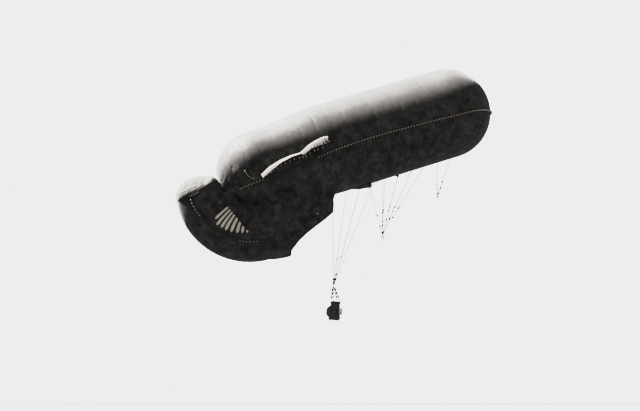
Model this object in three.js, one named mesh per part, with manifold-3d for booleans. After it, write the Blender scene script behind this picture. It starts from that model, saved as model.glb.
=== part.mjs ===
// Captive kite balloon: a sausage-shaped gas bag that flies nose up, a steering bag curled round its
// tail, an air scoop, two side sails, a rope belt, and a wicker basket slung below on ropes.
// Millimetres, +Z up, +X towards the nose, +Y to port. The origin is on the gas bag's axis near its
// centre of volume. What is fixed to the gas bag is drawn along that axis and then tilted nose up.
import * as THREE from "three";
import { mergeVertices } from "three/addons/utils/BufferGeometryUtils.js";
import Module from "manifold-3d";

const wasm = await Module();
wasm.setup();

const { degToRad, lerp, mapLinear, smoothstep } = THREE.MathUtils;
const point = (x, y, z) => new THREE.Vector3(x, y, z);

// Driving dimensions

const PITCH = degToRad(18.8); // the nose is this much above the tail
const SKIN = 10; // thickness of every fabric skin
const GAP = 0.3; // between pieces that touch

// The gas bag, along its own axis: a half-round nose, a cylinder, a long taper and an oval tail
const BAG = { noseTip: 10000, radius: 3230, cylinder: 9200, taper: 5270, tailRadius: 2770, tailLength: 3070 };
BAG.noseCentre = BAG.noseTip - BAG.radius;
BAG.taperStart = BAG.noseCentre - BAG.cylinder;
BAG.tailStart = BAG.taperStart - BAG.taper;

// The rope belt round the gas bag: it dips at the nose and towards the tail
const BELT = { width: 200, thickness: 12, noseDip: 290 };
const BELT_HEIGHT = [
  { x: -9900, z: -1100 },
  { x: -8300, z: -1030 },
  { x: -6200, z: -900 },
  { x: -4130, z: -730 },
  { x: -2700, z: -580 },
  { x: 0, z: -500 },
  { x: 3000, z: -570 },
  { x: 5000, z: -640 },
  { x: 6770, z: -730 },
];

// The steering bag is an oval section swept round a centre, by degrees down from the rearward level
const LOBE = { x: -8885, z: -1087, middle: 3057, outer: 5115, halfWidth: 1900 };
const LOBE_SWEEP = { tip: -32, fullFrom: -8, end: 165, step: 10 };
// Towards its mouth it flares, by this much for each degree past the start
const LOBE_FLARE = { from: 88, outward: 25, sideways: 3.75 };
// The mouth's rim in side view, from below the lower lip up to the gas bag
const MOUTH_RIM = [
  { x: -7620, z: -6900 },
  { x: -7580, z: -6120 },
  { x: -6900, z: -5640 },
  { x: -6200, z: -5310 },
  { x: -5500, z: -5060 },
  { x: -4700, z: -4780 },
  { x: -3960, z: -4480 },
  { x: -3800, z: -4060 },
  { x: -3720, z: -3650 },
  { x: -3480, z: -3330 },
  { x: -3300, z: -3050 },
];
// The belt on its sides: its turn round the section from the outer edge opens out over the first part
const LOBE_BELT = { startTurn: 49, turn: 62, openBy: 45, end: 95, step: 5 };

const SCOOP = { front: -430, rear: -2000, depth: 300, halfWidth: 620 };
const NECK = { x: 1750, radius: 110, length: 170 };

// Each side sail rises from its root to a crest and comes down to its free edge, in two bays
const SAIL = { thickness: 12, crestOut: 480, edgeOut: 850 };
const SAIL_LINES = [
  { x: -8350, root: -860, crest: -720, edge: -1020, reach: 0.7 },
  { x: -7700, root: -540, crest: -400, edge: -760, reach: 0.95 },
  { x: -6900, root: -350, crest: -190, edge: -440, reach: 1 },
  { x: -6100, root: -240, crest: -90, edge: -290, reach: 1 },
  { x: -5420, root: -210, crest: -100, edge: -260, reach: 0.85 },
  { x: -5250, root: -200, crest: -40, edge: -400, reach: 0.8 },
  { x: -4700, root: -10, crest: 220, edge: -150, reach: 1 },
  { x: -4200, root: 110, crest: 360, edge: -130, reach: 1 },
  { x: -3700, root: 170, crest: 400, edge: -160, reach: 0.95 },
  { x: -3250, root: 150, crest: 370, edge: -40, reach: 0.8 },
];

// The gas valve in the nose: a flanged ring, and a lid on a stem that opens inwards
const VALVE = { hole: 370, inner: 330, outer: 430, proud: 40, throat: 60, stem: 12 };
const LID = { radius: 352, thickness: 18 };

// The pins that the basket and the tether hang from, and the knot of the nose stays
const BASKET_PIN = point(-1990, 0, -10450);
const TETHER_PIN = point(1580, 0, -6800);
const NOSE_KNOT = point(5680, 0, -3980);
const PIN = { radius: 12, clearance: 0.3, eyeOuter: 34, eyeThick: 30, cheekGap: 42, cheekThick: 12 };
const SHACKLE_HEAD = 86; // the flat head's height above the shackle's pin
const LINK = 190; // between the yoke's two pins
const STIRRUP = { width: 180, depth: 36, top: -120, bottom: -320 };
const STIRRUP_WINDOW = { width: 120, top: -150, bottom: -280 };

// Stays: where each meets the belt, and how far its toggles are from its low end
const BASKET_STAYS = [
  { x: -1900, toggles: [200] },
  { x: -500, toggles: [560, 1800] },
  { x: 900, toggles: [200] },
];
const TETHER_STAYS = [
  { x: 400, toggles: [480, 1440] },
  { x: 2200, toggles: [910, 1900] },
  { x: 3700, toggles: [1100, 1950] },
  { x: 5100, toggles: [1200, 1980] },
];
const NOSE_STAY = { x: 6150, toggles: [230, 640, 1100] };
const FOOT = { halfSpread: 420, length: 1150 }; // the two legs that a stay ends in
const ROPE_RADIUS = 11;
const TOGGLE = { radius: 42, length: 150 };

// The basket is wider at its floor, and hangs a little out of true, its top towards the nose
const BASKET = { topLength: 500, topWidth: 760, floorLength: 680, floorWidth: 920, height: 1125 };
const BASKET_CORNER = 120;
const BASKET_PLACE = { ahead: 70, drop: 1900, lean: degToRad(5.2) }; // from the pin that it hangs from
const BASKET_WALL = 26;
const RIM = { outward: 50, inward: 40, height: 100 };
const FLOOR_BOARD = { x: 260, y: 370, thickness: 18 };
const SKID = { x: 220, width: 60, height: 30 };
const LEG = { topSpread: 60, footOut: { x: 15, y: -30 }, toggles: [60, 330, 600] };
const SANDBAG = { radius: 105, height: 300, below: 480, spacing: 290 };
// A coil of rope hangs from a peg in the front wall
const PEG = { y: 120, below: 385, length: 250, radius: 18 };
const COIL = { radius: 150, thickness: 36, stretch: 1.35, fromWall: 200 };
// The pack on the rear wall, by distance below the basket's top
const PACK_SECTIONS = [
  { below: 980, depth: 60, halfWidth: 150 },
  { below: 900, depth: 170, halfWidth: 215 },
  { below: 760, depth: 275, halfWidth: 250 },
  { below: 440, depth: 285, halfWidth: 250 },
  { below: 300, depth: 200, halfWidth: 215 },
  { below: 175, depth: 50, halfWidth: 140 },
];

const paint = (color, roughness = 0.8, metalness = 0) =>
  new THREE.MeshStandardMaterial({ color, roughness, metalness });
const MATERIAL = {
  envelope: paint(0x8d8a7e, 0.6),
  lobe: paint(0x838072, 0.65),
  sail: paint(0xc9c6b8, 0.75),
  webbing: paint(0xb8b2a0),
  rope: paint(0x9c9078),
  steel: paint(0x55585c, 0.4, 0.9),
  wood: paint(0x8a6a44, 0.6),
  wicker: paint(0x6d5333, 0.75),
  leather: paint(0x4a3426, 0.6),
  canvas: paint(0x8f8568, 0.9),
};

// Solids: geometry in, a closed solid out, and back again

function solidOf(geometry) {
  const bare = new THREE.BufferGeometry();
  bare.setAttribute("position", geometry.getAttribute("position"));
  if (geometry.index) bare.setIndex(geometry.index);
  const merged = mergeVertices(bare, 1e-3);
  const vertProperties = merged.attributes.position.array;
  const build = (triVerts) => new wasm.Manifold(new wasm.Mesh({ numProp: 3, vertProperties, triVerts }));
  const faces = new Uint32Array(merged.index.array);
  const made = build(faces);
  return made.volume() < 0 ? build(faces.reverse()) : made;
}

function geometryOf(solid) {
  const mesh = solid.getMesh();
  const geometry = new THREE.BufferGeometry();
  geometry.setAttribute("position", new THREE.BufferAttribute(new Float32Array(mesh.vertProperties), 3));
  geometry.setIndex(new THREE.BufferAttribute(new Uint32Array(mesh.triVerts), 1));
  geometry.computeVertexNormals();
  return geometry;
}

const union = (solids) => solids.reduce((sum, solid) => sum.add(solid));
const moved = (solid, matrix) => solidOf(geometryOf(solid).applyMatrix4(matrix));
// A cut through thin skins can leave crumbs, so only the biggest body is kept
const biggest = (solid) => solid.decompose().sort((a, b) => b.volume() - a.volume())[0];

// A closed solid through rings of points, with a flat fan on each end ring. Its quads from one column on
// are split along their other diagonal, so that the two faces of a thin sheet match
function loft(rings, turnedFrom = Infinity) {
  const count = rings[0].length;
  const faces = [];
  for (let i = 0; i + 1 < rings.length; i++)
    for (let j = 0; j < count; j++) {
      const k = (j + 1) % count;
      const [a, b, c, d] = [i * count + j, i * count + k, (i + 1) * count + k, (i + 1) * count + j];
      faces.push(...(j < turnedFrom ? [a, b, c, a, c, d] : [a, b, d, b, c, d]));
    }
  const last = (rings.length - 1) * count;
  for (let j = 1; j + 1 < count; j++) faces.push(0, j + 1, j, last, last + j, last + j + 1);
  const geometry = new THREE.BufferGeometry().setFromPoints(rings.flat());
  geometry.setIndex(faces);
  return solidOf(geometry);
}

// A box by its lowest and highest corners
function box(low, high) {
  const size = high.clone().sub(low);
  const middle = low.clone().add(high).multiplyScalar(0.5);
  return solidOf(new THREE.BoxGeometry(size.x, size.y, size.z).translate(middle.x, middle.y, middle.z));
}

// A round bar between two points
function bar(from, to, radius, sides = 6) {
  const along = to.clone().sub(from);
  const turn = new THREE.Quaternion().setFromUnitVectors(point(0, 1, 0), along.clone().normalize());
  const geometry = new THREE.CylinderGeometry(radius, radius, along.length(), sides);
  const middle = from.clone().add(to).multiplyScalar(0.5);
  return solidOf(geometry.applyQuaternion(turn).translate(middle.x, middle.y, middle.z));
}

// A profile of [radius, height] turned about an axis
const lathe = (profile, sides) =>
  new THREE.LatheGeometry(profile.map(([r, h]) => new THREE.Vector2(r, h)), sides);
const turnedX = (profile, sides = 24) => solidOf(lathe(profile, sides).rotateZ(-Math.PI / 2));
const turnedZ = (profile, sides = 24) => solidOf(lathe(profile, sides).rotateX(Math.PI / 2));

// The height at x in a table of knots, in straight lines between them
function heightAt(knots, x) {
  const found = knots.findIndex((knot) => knot.x >= x);
  const i = found < 0 ? knots.length - 1 : Math.max(1, found);
  const [a, b] = [knots[i - 1], knots[i]];
  return mapLinear(x, a.x, b.x, a.z, b.z);
}

// The gas bag

function bagRadius(x) {
  if (x > BAG.noseCentre) return Math.sqrt(Math.max(0, BAG.radius ** 2 - (x - BAG.noseCentre) ** 2));
  if (x > BAG.tailStart)
    return lerp(BAG.radius, BAG.tailRadius, smoothstep(BAG.taperStart - x, 0, BAG.taper));
  const share = Math.min(1, (BAG.tailStart - x) / BAG.tailLength);
  return BAG.tailRadius * Math.sqrt(1 - share ** 2);
}

// The gas bag's outline turned about its axis, moved out by grow
function bagSolid(grow) {
  const steps = 9;
  const nose = Array.from({ length: steps + 1 }, (_, i) => {
    const angle = (i / steps) * (Math.PI / 2);
    const reach = BAG.radius + grow;
    return [reach * Math.sin(angle), BAG.noseCentre + reach * Math.cos(angle)];
  });
  const taper = [0, 0.25, 0.5, 0.75].map((share) => {
    const x = BAG.taperStart - share * BAG.taper;
    return [bagRadius(x) + grow, x];
  });
  const tail = Array.from({ length: steps + 1 }, (_, i) => {
    const angle = (i / steps) * (Math.PI / 2);
    const across = i === steps ? 0 : (BAG.tailRadius + grow) * Math.cos(angle);
    return [across, BAG.tailStart - (BAG.tailLength + grow) * Math.sin(angle)];
  });
  return turnedX([...nose, ...taper, ...tail], 36);
}

const bagCutter = bagSolid(GAP);

function gasBag() {
  const hole = bar(point(BAG.noseTip - 400, 0, 0), point(BAG.noseTip + 100, 0, 0), VALVE.hole, 24);
  return bagSolid(0).subtract(bagSolid(-SKIN)).subtract(hole);
}

// A point on the gas bag's side at a height beside its axis, moved out square to the skin
function bagSide(x, height, side, out) {
  const r = bagRadius(x);
  const push = (r + out) / r;
  return point(x, side * Math.sqrt(r ** 2 - height ** 2) * push, height * push);
}

// The same on the round nose, at a bearing from the axis
function bagNose(bearing, height, out) {
  const across = Math.sqrt(BAG.radius ** 2 - height ** 2);
  const push = (BAG.radius + out) / BAG.radius;
  return point(
    BAG.noseCentre + across * Math.cos(bearing) * push,
    across * Math.sin(bearing) * push,
    height * push,
  );
}

// The steering bag

const lobeFlare = (degrees) => Math.max(0, degrees - LOBE_FLARE.from);
const lobeDepth = (degrees) => LOBE.outer - LOBE.middle + LOBE_FLARE.outward * lobeFlare(degrees);
const lobeWidth = (degrees) => LOBE.halfWidth + LOBE_FLARE.sideways * lobeFlare(degrees);

// A point on the steering bag, as a turn round its section from the outer edge
function lobePoint(degrees, turn, depth, width) {
  const angle = degToRad(degrees);
  const reach = LOBE.middle + depth * Math.cos(turn);
  return point(LOBE.x - reach * Math.cos(angle), width * Math.sin(turn), LOBE.z - reach * Math.sin(angle));
}

function lobeRing(degrees, tip, grow) {
  const sides = 26;
  const share = Math.max(0, (LOBE_SWEEP.fullFrom - degrees) / (LOBE_SWEEP.fullFrom - tip));
  const round = Math.max(0.0004, 1 - share ** 2);
  const depth = (lobeDepth(degrees) + grow) * round ** 0.75;
  const width = (lobeWidth(degrees) + grow) * Math.sqrt(round);
  return Array.from({ length: sides }, (_, i) => lobePoint(degrees, (i / sides) * 2 * Math.PI, depth, width));
}

function lobeSolid(grow) {
  const tip = LOBE_SWEEP.tip - THREE.MathUtils.radToDeg(grow / LOBE.middle);
  const angles = [0, 0.06, 0.16, 0.31, 0.5, 0.72, 1].map((share) => lerp(tip, LOBE_SWEEP.fullFrom, share));
  for (let degrees = 0; degrees <= LOBE_SWEEP.end; degrees += LOBE_SWEEP.step) angles.push(degrees);
  return loft(angles.map((degrees) => lobeRing(degrees, tip, grow)));
}

// Everything ahead of the mouth's rim, far wider than the steering bag
function mouthCutter() {
  const [lip, top] = [MOUTH_RIM[0], MOUTH_RIM.at(-1)];
  const outline = [...MOUTH_RIM, { x: top.x, z: -1000 }, { x: 3000, z: -1000 }, { x: 3000, z: -9500 }];
  outline.push({ x: lip.x, z: -9500 });
  const shape = new THREE.Shape(outline.map(({ x, z }) => new THREE.Vector2(x, z)));
  const plate = new THREE.ExtrudeGeometry(shape, { depth: 8000, bevelEnabled: false });
  return solidOf(plate.rotateX(Math.PI / 2).translate(0, 4000, 0));
}

const steeringBag = () =>
  biggest(lobeSolid(0).subtract(lobeSolid(-SKIN)).subtract(bagCutter).subtract(mouthCutter()));

function steeringBelt(side) {
  const { startTurn, turn, openBy, end, step } = LOBE_BELT;
  const half = BELT.width / 2 / LOBE.halfWidth;
  const corners = [[-half, -25], [half, -25], [half, BELT.thickness], [-half, BELT.thickness]];
  const rings = [];
  for (let degrees = 0; degrees <= end; degrees += step) {
    const middle = degToRad(mapLinear(Math.min(degrees, openBy), 0, openBy, startTurn, turn));
    const [depth, width] = [lobeDepth(degrees), lobeWidth(degrees)];
    const corner = ([across, out]) => lobePoint(degrees, side * (middle + across), depth + out, width + out);
    rings.push(corners.map(corner));
  }
  return biggest(loft(rings).subtract(lobeSolid(GAP)));
}

// The air scoop under the belly: a flattened funnel, open to the front
function scoopSolid(grow) {
  const level = -BAG.radius + 230;
  const full = SCOOP.depth + 230;
  const ring = (x, depth, halfWidth) =>
    Array.from({ length: 16 }, (_, i) => {
      const turn = (i / 16) * 2 * Math.PI;
      return point(x, (halfWidth + grow) * Math.cos(turn), level - (depth + grow) * Math.sin(turn));
    });
  return loft([
    ring(SCOOP.front - Math.sign(grow) * 50, full, SCOOP.halfWidth),
    ring(lerp(SCOOP.front, SCOOP.rear, 0.5), full - 120, SCOOP.halfWidth * 0.92),
    ring(SCOOP.rear, full - 360, SCOOP.halfWidth * 0.6),
  ]);
}

const airScoop = () => biggest(scoopSolid(0).subtract(scoopSolid(-SKIN)).subtract(bagCutter));

// The filling neck, tied off below the belly
function fillingNeck() {
  const { x, radius, length } = NECK;
  const profile = [
    [0, 60],
    [radius * 1.25, 60],
    [radius, -30],
    [radius * 0.55, -length * 0.6],
    [radius * 0.28, -length * 0.75],
    [radius * 0.6, -length],
    [0, -length],
  ];
  const place = new THREE.Matrix4().makeTranslation(x, 0, -BAG.radius);
  return moved(turnedZ(profile, 14), place).subtract(bagCutter);
}

// The belt round the gas bag

const beltHeight = (x) => heightAt(BELT_HEIGHT, x);

function beltSolid(grow) {
  const [half, face] = [BELT.width / 2 + grow, BELT.thickness + grow];
  const corners = [[-half, -60], [half, -60], [half, face], [-half, face]];
  const steps = 16;
  const places = Array.from({ length: steps }, (_, i) => lerp(BELT_HEIGHT[0].x, BAG.noseCentre, i / steps));
  const sideRing = (x, side) => corners.map(([up, out]) => bagSide(x, beltHeight(x) + up, side, out));
  const noseRing = (bearing) => {
    const height = BELT_HEIGHT.at(-1).z - BELT.noseDip * Math.cos(bearing) ** 2;
    return corners.map(([up, out]) => bagNose(bearing, height + up, out));
  };
  const bearings = Array.from({ length: 15 }, (_, i) => mapLinear(i, 0, 14, -Math.PI / 2, Math.PI / 2));
  return loft([
    ...places.map((x) => sideRing(x, -1)),
    ...bearings.map(noseRing),
    ...places.reverse().map((x) => sideRing(x, 1)),
  ]);
}

// A side sail, its root buried in the gas bag's outline and then cut to it
function sail(side) {
  const rings = SAIL_LINES.map(({ x, root, crest, edge, reach }) => {
    const skin = bagSide(x, root, side, 0).y;
    const [crestOut, edgeOut] = [SAIL.crestOut * reach, SAIL.edgeOut * reach];
    const section = [
      [-60, root],
      [crestOut / 2, lerp(root, crest, 0.8)],
      [crestOut, crest],
      [(crestOut + edgeOut) / 2, lerp(crest, edge, 0.35)],
      [edgeOut, edge],
    ];
    const line = (by) => section.map(([out, z]) => point(x, skin + side * out, z + by));
    return [...line(SAIL.thickness / 2), ...line(-SAIL.thickness / 2).reverse()];
  });
  return biggest(loft(rings, 5).subtract(bagCutter));
}

// The valve's flange on the skin, its throat, and three spokes with a hub that guides the lid's stem
function valveRing() {
  const tip = BAG.noseTip;
  const { inner, outer, hole, proud, throat, stem } = VALVE;
  const flange = turnedX([
    [inner, tip - throat],
    [outer, tip - throat],
    [outer, tip + proud - 12],
    [outer - 25, tip + proud],
    [inner, tip + proud],
    [inner, tip - throat],
  ]).subtract(bagCutter);
  const pipe = turnedX([
    [inner, tip - throat],
    [hole - 4, tip - throat],
    [hole - 4, tip + 10],
    [inner, tip + 10],
    [inner, tip - throat],
  ]);
  const spokes = [0, 60, 120].map((degrees) => {
    const spoke = new THREE.BoxGeometry(16, 2 * inner + 40, 34).rotateX(degToRad(degrees));
    return solidOf(spoke.translate(tip + proud - 12, 0, 0));
  });
  const hub = turnedX([[0, tip + 10], [50, tip + 10], [50, tip + proud + 8], [0, tip + proud + 8]], 20);
  const bore = bar(point(tip, 0, 0), point(tip + 100, 0, 0), stem + 3, 16);
  return biggest(union([flange, pipe, ...spokes, hub]).subtract(bore));
}

function valveLid() {
  const seat = BAG.noseTip - VALVE.throat - GAP;
  const head = BAG.noseTip + VALVE.proud + 105;
  return turnedX([
    [0, seat - LID.thickness],
    [LID.radius - 30, seat - LID.thickness],
    [LID.radius, seat - LID.thickness + 8],
    [LID.radius, seat],
    [VALVE.stem, seat],
    [VALVE.stem, head],
    [0, head],
  ]);
}

// Ropes, in the part's own frame

const tilt = new THREE.Matrix4().makeRotationY(-PITCH);
const untilt = tilt.clone().invert();
const between = (a, b, distance) => a.clone().add(b.clone().sub(a).setLength(distance));

// A rope through a path of points, mitred at each bend
function rope(path) {
  const sides = 6;
  const rings = path.map((at, i) => {
    const before = path[Math.max(i - 1, 0)];
    const after = path[Math.min(i + 1, path.length - 1)];
    const along = after.clone().sub(before).normalize();
    const across = new THREE.Vector3().crossVectors(along, point(1, 0, 0)).normalize();
    const rise = new THREE.Vector3().crossVectors(along, across);
    return Array.from({ length: sides }, (_, k) => {
      const turn = (k / sides) * 2 * Math.PI;
      const onRing = at.clone().addScaledVector(across, ROPE_RADIUS * Math.cos(turn));
      return onRing.addScaledVector(rise, ROPE_RADIUS * Math.sin(turn));
    });
  });
  return loft(rings);
}

// A wooden toggle on a rope, this far from one end towards the other
const toggle = (from, towards, distance) =>
  bar(between(from, towards, distance), between(from, towards, distance + TOGGLE.length), TOGGLE.radius, 8);

// A stay's legs lie on the gas bag from the belt down to where a straight line to the pin leaves it
const LEG_CLEARANCE = { belt: BELT.thickness + 5, skin: 28, angle: degToRad(2), step: degToRad(9) };

function onSkin(x, fromBelow, side, out) {
  const r = bagRadius(x) + out;
  return point(x, side * r * Math.sin(fromBelow), -r * Math.cos(fromBelow)).applyMatrix4(tilt);
}

function skinPath(x, side, leaveAngle) {
  const start = Math.acos(-(beltHeight(x) - 70) / bagRadius(x));
  const steps = Math.max(1, Math.ceil((start - leaveAngle) / LEG_CLEARANCE.step));
  return Array.from({ length: steps + 1 }, (_, i) =>
    onSkin(x, lerp(start, leaveAngle, i / steps), side, i === 0 ? LEG_CLEARANCE.belt : LEG_CLEARANCE.skin),
  );
}

const beltCutter = moved(beltSolid(GAP), tilt);

// A stay from its low end up to a crow's foot of two legs, cut to seat on the belt and on the flat
// head at its low end
function stay(low, { x, toggles }, side) {
  const pin = low.clone().applyMatrix4(untilt);
  const leaveCosine = (bagRadius(x) + LEG_CLEARANCE.skin) / Math.hypot(pin.y, pin.z);
  const leaveAngle = Math.acos(leaveCosine) - LEG_CLEARANCE.angle;
  const fork = between(onSkin(x, leaveAngle, side, LEG_CLEARANCE.skin), low, FOOT.length);
  const legs = [-1, 1].map((way) => rope([...skinPath(x + way * FOOT.halfSpread, side, leaveAngle), fork]));
  const single = bar(between(low, fork, -40), fork, ROPE_RADIUS);
  const knots = [toggle(fork, low, -30), ...toggles.map((distance) => toggle(low, fork, distance))];
  const head = box(point(low.x - 200, low.y - 200, low.z - 100), point(low.x + 200, low.y + 200, low.z));
  return union([single, ...legs, ...knots]).subtract(beltCutter).subtract(head);
}

// Where a stay ends on a shackle's head, at a bearing round it
const tie = (pin, bearing) =>
  pin.clone().add(point(62 * Math.cos(bearing), 62 * Math.sin(bearing), SHACKLE_HEAD + GAP));

// Fittings, each with its upper pin at its own origin

// Two cheeks and a pin along Y. The head is on the far side of the pin's origin, up or down
function shackle(headUp) {
  const middle = (PIN.cheekGap + PIN.cheekThick) / 2;
  const outside = middle + PIN.cheekThick / 2;
  const eye = PIN.eyeOuter;
  const parts = [-1, 1].map((side) =>
    box(
      point(-eye, side * middle - PIN.cheekThick / 2, -26),
      point(eye, side * middle + PIN.cheekThick / 2, 66),
    ),
  );
  parts.push(box(point(-eye, -outside, 58), point(eye, outside, 74)));
  parts.push(bar(point(0, 0, 62), point(0, 0, SHACKLE_HEAD), 90, 16));
  parts.push(bar(point(0, -outside - 8, 0), point(0, outside + 8, 0), PIN.radius, 12));
  const turn = new THREE.Matrix4();
  if (!headUp) turn.makeRotationX(Math.PI).multiply(new THREE.Matrix4().makeRotationZ(Math.PI / 2));
  return moved(union(parts), turn);
}

// An eye round a pin along Y
function pinEye() {
  const sides = 20;
  const inner = PIN.radius / Math.cos(Math.PI / sides) + PIN.clearance;
  const half = PIN.eyeThick / 2;
  const outer = PIN.eyeOuter;
  const profile = [[inner, -half], [outer, -half], [outer, half], [inner, half], [inner, -half]];
  return solidOf(lathe(profile, sides));
}

// The yoke between the balloon's shackle and the basket's, its two eyes at right angles
function yokeLink() {
  const shank = bar(point(0, 0, -PIN.eyeOuter + 6), point(0, 0, -LINK + PIN.eyeOuter - 6), 13, 10);
  const quarter = new THREE.Matrix4().makeRotationZ(Math.PI / 2).setPosition(0, 0, -LINK);
  return union([pinEye(), shank, moved(pinEye(), quarter)]);
}

// The tether's link: an eye on the pin, and a stirrup that the cable's splice goes round
function tetherLink() {
  const plate = ({ width, top, bottom }, depth) =>
    box(point(-width / 2, -depth / 2, bottom), point(width / 2, depth / 2, top));
  const shank = bar(point(0, 0, -PIN.eyeOuter + 6), point(0, 0, STIRRUP.top - 10), 14, 10);
  const body = plate(STIRRUP, STIRRUP.depth).subtract(plate(STIRRUP_WINDOW, 2 * STIRRUP.depth));
  return union([pinEye(), shank, body]);
}

// The plate that the two nose stays are spliced to, with a lug under it for the handling line
function noseRing() {
  const plate = box(point(-45, -50, -14), point(45, 50, 0));
  const lug = box(point(-12, -30, -104), point(12, 30, -7));
  return plate.add(lug.subtract(bar(point(-40, 0, -66), point(40, 0, -66), 16, 16)));
}

// The basket, in a frame of its own with its origin in the middle of its height

const BASKET_TOP = BASKET.height / 2;
const hang = new THREE.Matrix4()
  .makeRotationY(BASKET_PLACE.lean)
  .setPosition(BASKET_PIN.x + BASKET_PLACE.ahead, 0, BASKET_PIN.z - BASKET_PLACE.drop);

const wallShare = (z) => (z + BASKET_TOP) / BASKET.height;
const frontWall = (z) => lerp(BASKET.floorLength, BASKET.topLength, wallShare(z)) / 2;
const sideWall = (z) => lerp(BASKET.floorWidth, BASKET.topWidth, wallShare(z)) / 2;

// A level ring with rounded corners, as big as the basket's outside at one height and then grown
function basketRing(sizedAt, grow, z) {
  const corner = BASKET_CORNER + grow;
  const [x, y] = [frontWall(sizedAt) - BASKET_CORNER, sideWall(sizedAt) - BASKET_CORNER];
  const shape = new THREE.Path();
  for (const [sx, sy, start] of [[1, 1, 0], [-1, 1, 0.5], [-1, -1, 1], [1, -1, 1.5]])
    shape.absarc(sx * x, sy * y, corner, start * Math.PI, (start + 0.5) * Math.PI, false);
  return shape.getPoints(4).map((at) => point(at.x, at.y, z));
}

function basketShell() {
  const floor = -BASKET_TOP + BASKET_WALL;
  const above = BASKET_TOP + 50;
  const outside = loft([-BASKET_TOP, BASKET_TOP].map((z) => basketRing(z, 0, z)));
  return outside.subtract(loft([floor, above].map((z) => basketRing(z, -BASKET_WALL, z))));
}

function basketRim() {
  const [low, high] = [BASKET_TOP + GAP, BASKET_TOP + GAP + RIM.height];
  const outside = loft([low, high].map((z) => basketRing(BASKET_TOP, RIM.outward, z)));
  return outside.subtract(loft([low - 20, high + 20].map((z) => basketRing(BASKET_TOP, -RIM.inward, z))));
}

function floorBoard() {
  const floor = -BASKET_TOP + BASKET_WALL + GAP;
  const { x, y, thickness } = FLOOR_BOARD;
  return box(point(-x, -y, floor), point(x, y, floor + thickness));
}

function basketSkid(way) {
  const top = -BASKET_TOP - GAP;
  const [x, y] = [way * SKID.x, sideWall(-BASKET_TOP) - 60];
  return box(point(x - SKID.width / 2, -y, top - SKID.height), point(x + SKID.width / 2, y, top));
}

// A rope leg from the crown's underside to the rim's top, its ends cut flat to seat on both
function basketLeg(sx, sy) {
  const crownUnder = BASKET_PIN.z - LINK - SHACKLE_HEAD;
  const rimTop = BASKET_TOP + GAP + RIM.height;
  const top = point(BASKET_PIN.x + sx * LEG.topSpread, sy * LEG.topSpread, crownUnder + 20);
  const across = [frontWall(BASKET_TOP) + LEG.footOut.x, sideWall(BASKET_TOP) + LEG.footOut.y];
  const foot = point(sx * across[0], sy * across[1], rimTop - 20).applyMatrix4(hang);
  const crown = box(point(-4000, -1000, crownUnder - GAP), point(1000, 1000, crownUnder + 200));
  const rim = moved(box(point(-900, -900, rimTop - 300), point(900, 900, rimTop + GAP)), hang);
  const knots = LEG.toggles.map((distance) => toggle(top, foot, distance));
  return union([bar(top, foot, ROPE_RADIUS), ...knots]).subtract(crown).subtract(rim);
}

// Ballast bags against a side wall, hung by cords from a rope under the rim
function ballast(side) {
  const { radius, height, below, spacing } = SANDBAG;
  const neck = BASKET_TOP - below;
  const rail = BASKET_TOP - GAP - 9;
  const railOut = side * (sideWall(BASKET_TOP) + 14);
  const out = side * (sideWall(neck - 0.4 * height) + GAP + radius + 6);
  const profile = [
    [0, -height * 0.8],
    [0.62 * radius, -height * 0.78],
    [0.94 * radius, -height * 0.62],
    [radius, -height * 0.36],
    [0.78 * radius, -height * 0.12],
    [0.38 * radius, 0],
    [0.26 * radius, height * 0.06],
    [0.44 * radius, height * 0.19],
    [0, height * 0.2],
  ];
  const bags = [-spacing / 2, spacing / 2].map((x) => {
    const bag = moved(turnedZ(profile, 12), new THREE.Matrix4().makeTranslation(x, out, neck));
    return bag.add(bar(point(x, out, neck + 40), point(x, railOut, rail), 6));
  });
  const reach = spacing / 2 + 40;
  return union([...bags, bar(point(-reach, railOut, rail), point(reach, railOut, rail), 9)]);
}

// The canvas pack on the rear wall, hung by two straps
function sidePack() {
  const wall = (z) => -frontWall(z) - GAP;
  const rings = PACK_SECTIONS.map(({ below, depth, halfWidth }) =>
    Array.from({ length: 11 }, (_, i) => {
      const turn = (i / 10) * Math.PI;
      const z = BASKET_TOP - below;
      return point(wall(z) - depth * Math.sin(turn), halfWidth * Math.cos(turn), z);
    }),
  );
  const [low, high] = [BASKET_TOP - 220, BASKET_TOP - GAP];
  const strapRing = (z, y) =>
    [[0, -20], [0, 20], [-8, 20], [-8, -20]].map(([out, across]) => point(wall(z) + out, y + across, z));
  const straps = [-80, 80].map((y) => loft([low, high].map((z) => strapRing(z, y))));
  return union([loft(rings), ...straps]);
}

function ropePeg() {
  const z = BASKET_TOP - PEG.below;
  const foot = frontWall(z) + GAP;
  const peg = bar(point(foot - 60, PEG.y, z), point(foot + PEG.length, PEG.y, z), PEG.radius, 10);
  const plate = box(point(foot - 40, PEG.y - 45, z - 45), point(foot + 16, PEG.y + 45, z + 45));
  const inside = loft([-BASKET_TOP, BASKET_TOP].map((at) => basketRing(at, GAP, at)));
  return peg.add(plate).subtract(inside);
}

function ropeCoil() {
  const { radius, thickness, stretch, fromWall } = COIL;
  const coil = new THREE.TorusGeometry(radius, thickness, 8, 24);
  coil.rotateX(Math.PI / 2).rotateZ(Math.PI / 2).scale(1, 1, stretch);
  const z = BASKET_TOP - PEG.below;
  const centre = z + PEG.radius + GAP - (radius - thickness) * stretch;
  return solidOf(coil.translate(frontWall(z) + fromWall, PEG.y, centre));
}

// Assembly

const balloon = new THREE.Group();
const tilted = new THREE.Group();
const hung = new THREE.Group();
tilted.applyMatrix4(tilt);
hung.applyMatrix4(hang);
balloon.add(tilted, hung);

function add(name, solid, material, parent = balloon, at = point(0, 0, 0)) {
  const mesh = new THREE.Mesh(geometryOf(solid), MATERIAL[material]);
  mesh.name = name;
  mesh.position.copy(at);
  parent.add(mesh);
}

const SIDES = [
  { name: "starboard", side: -1 },
  { name: "port", side: 1 },
];

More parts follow.
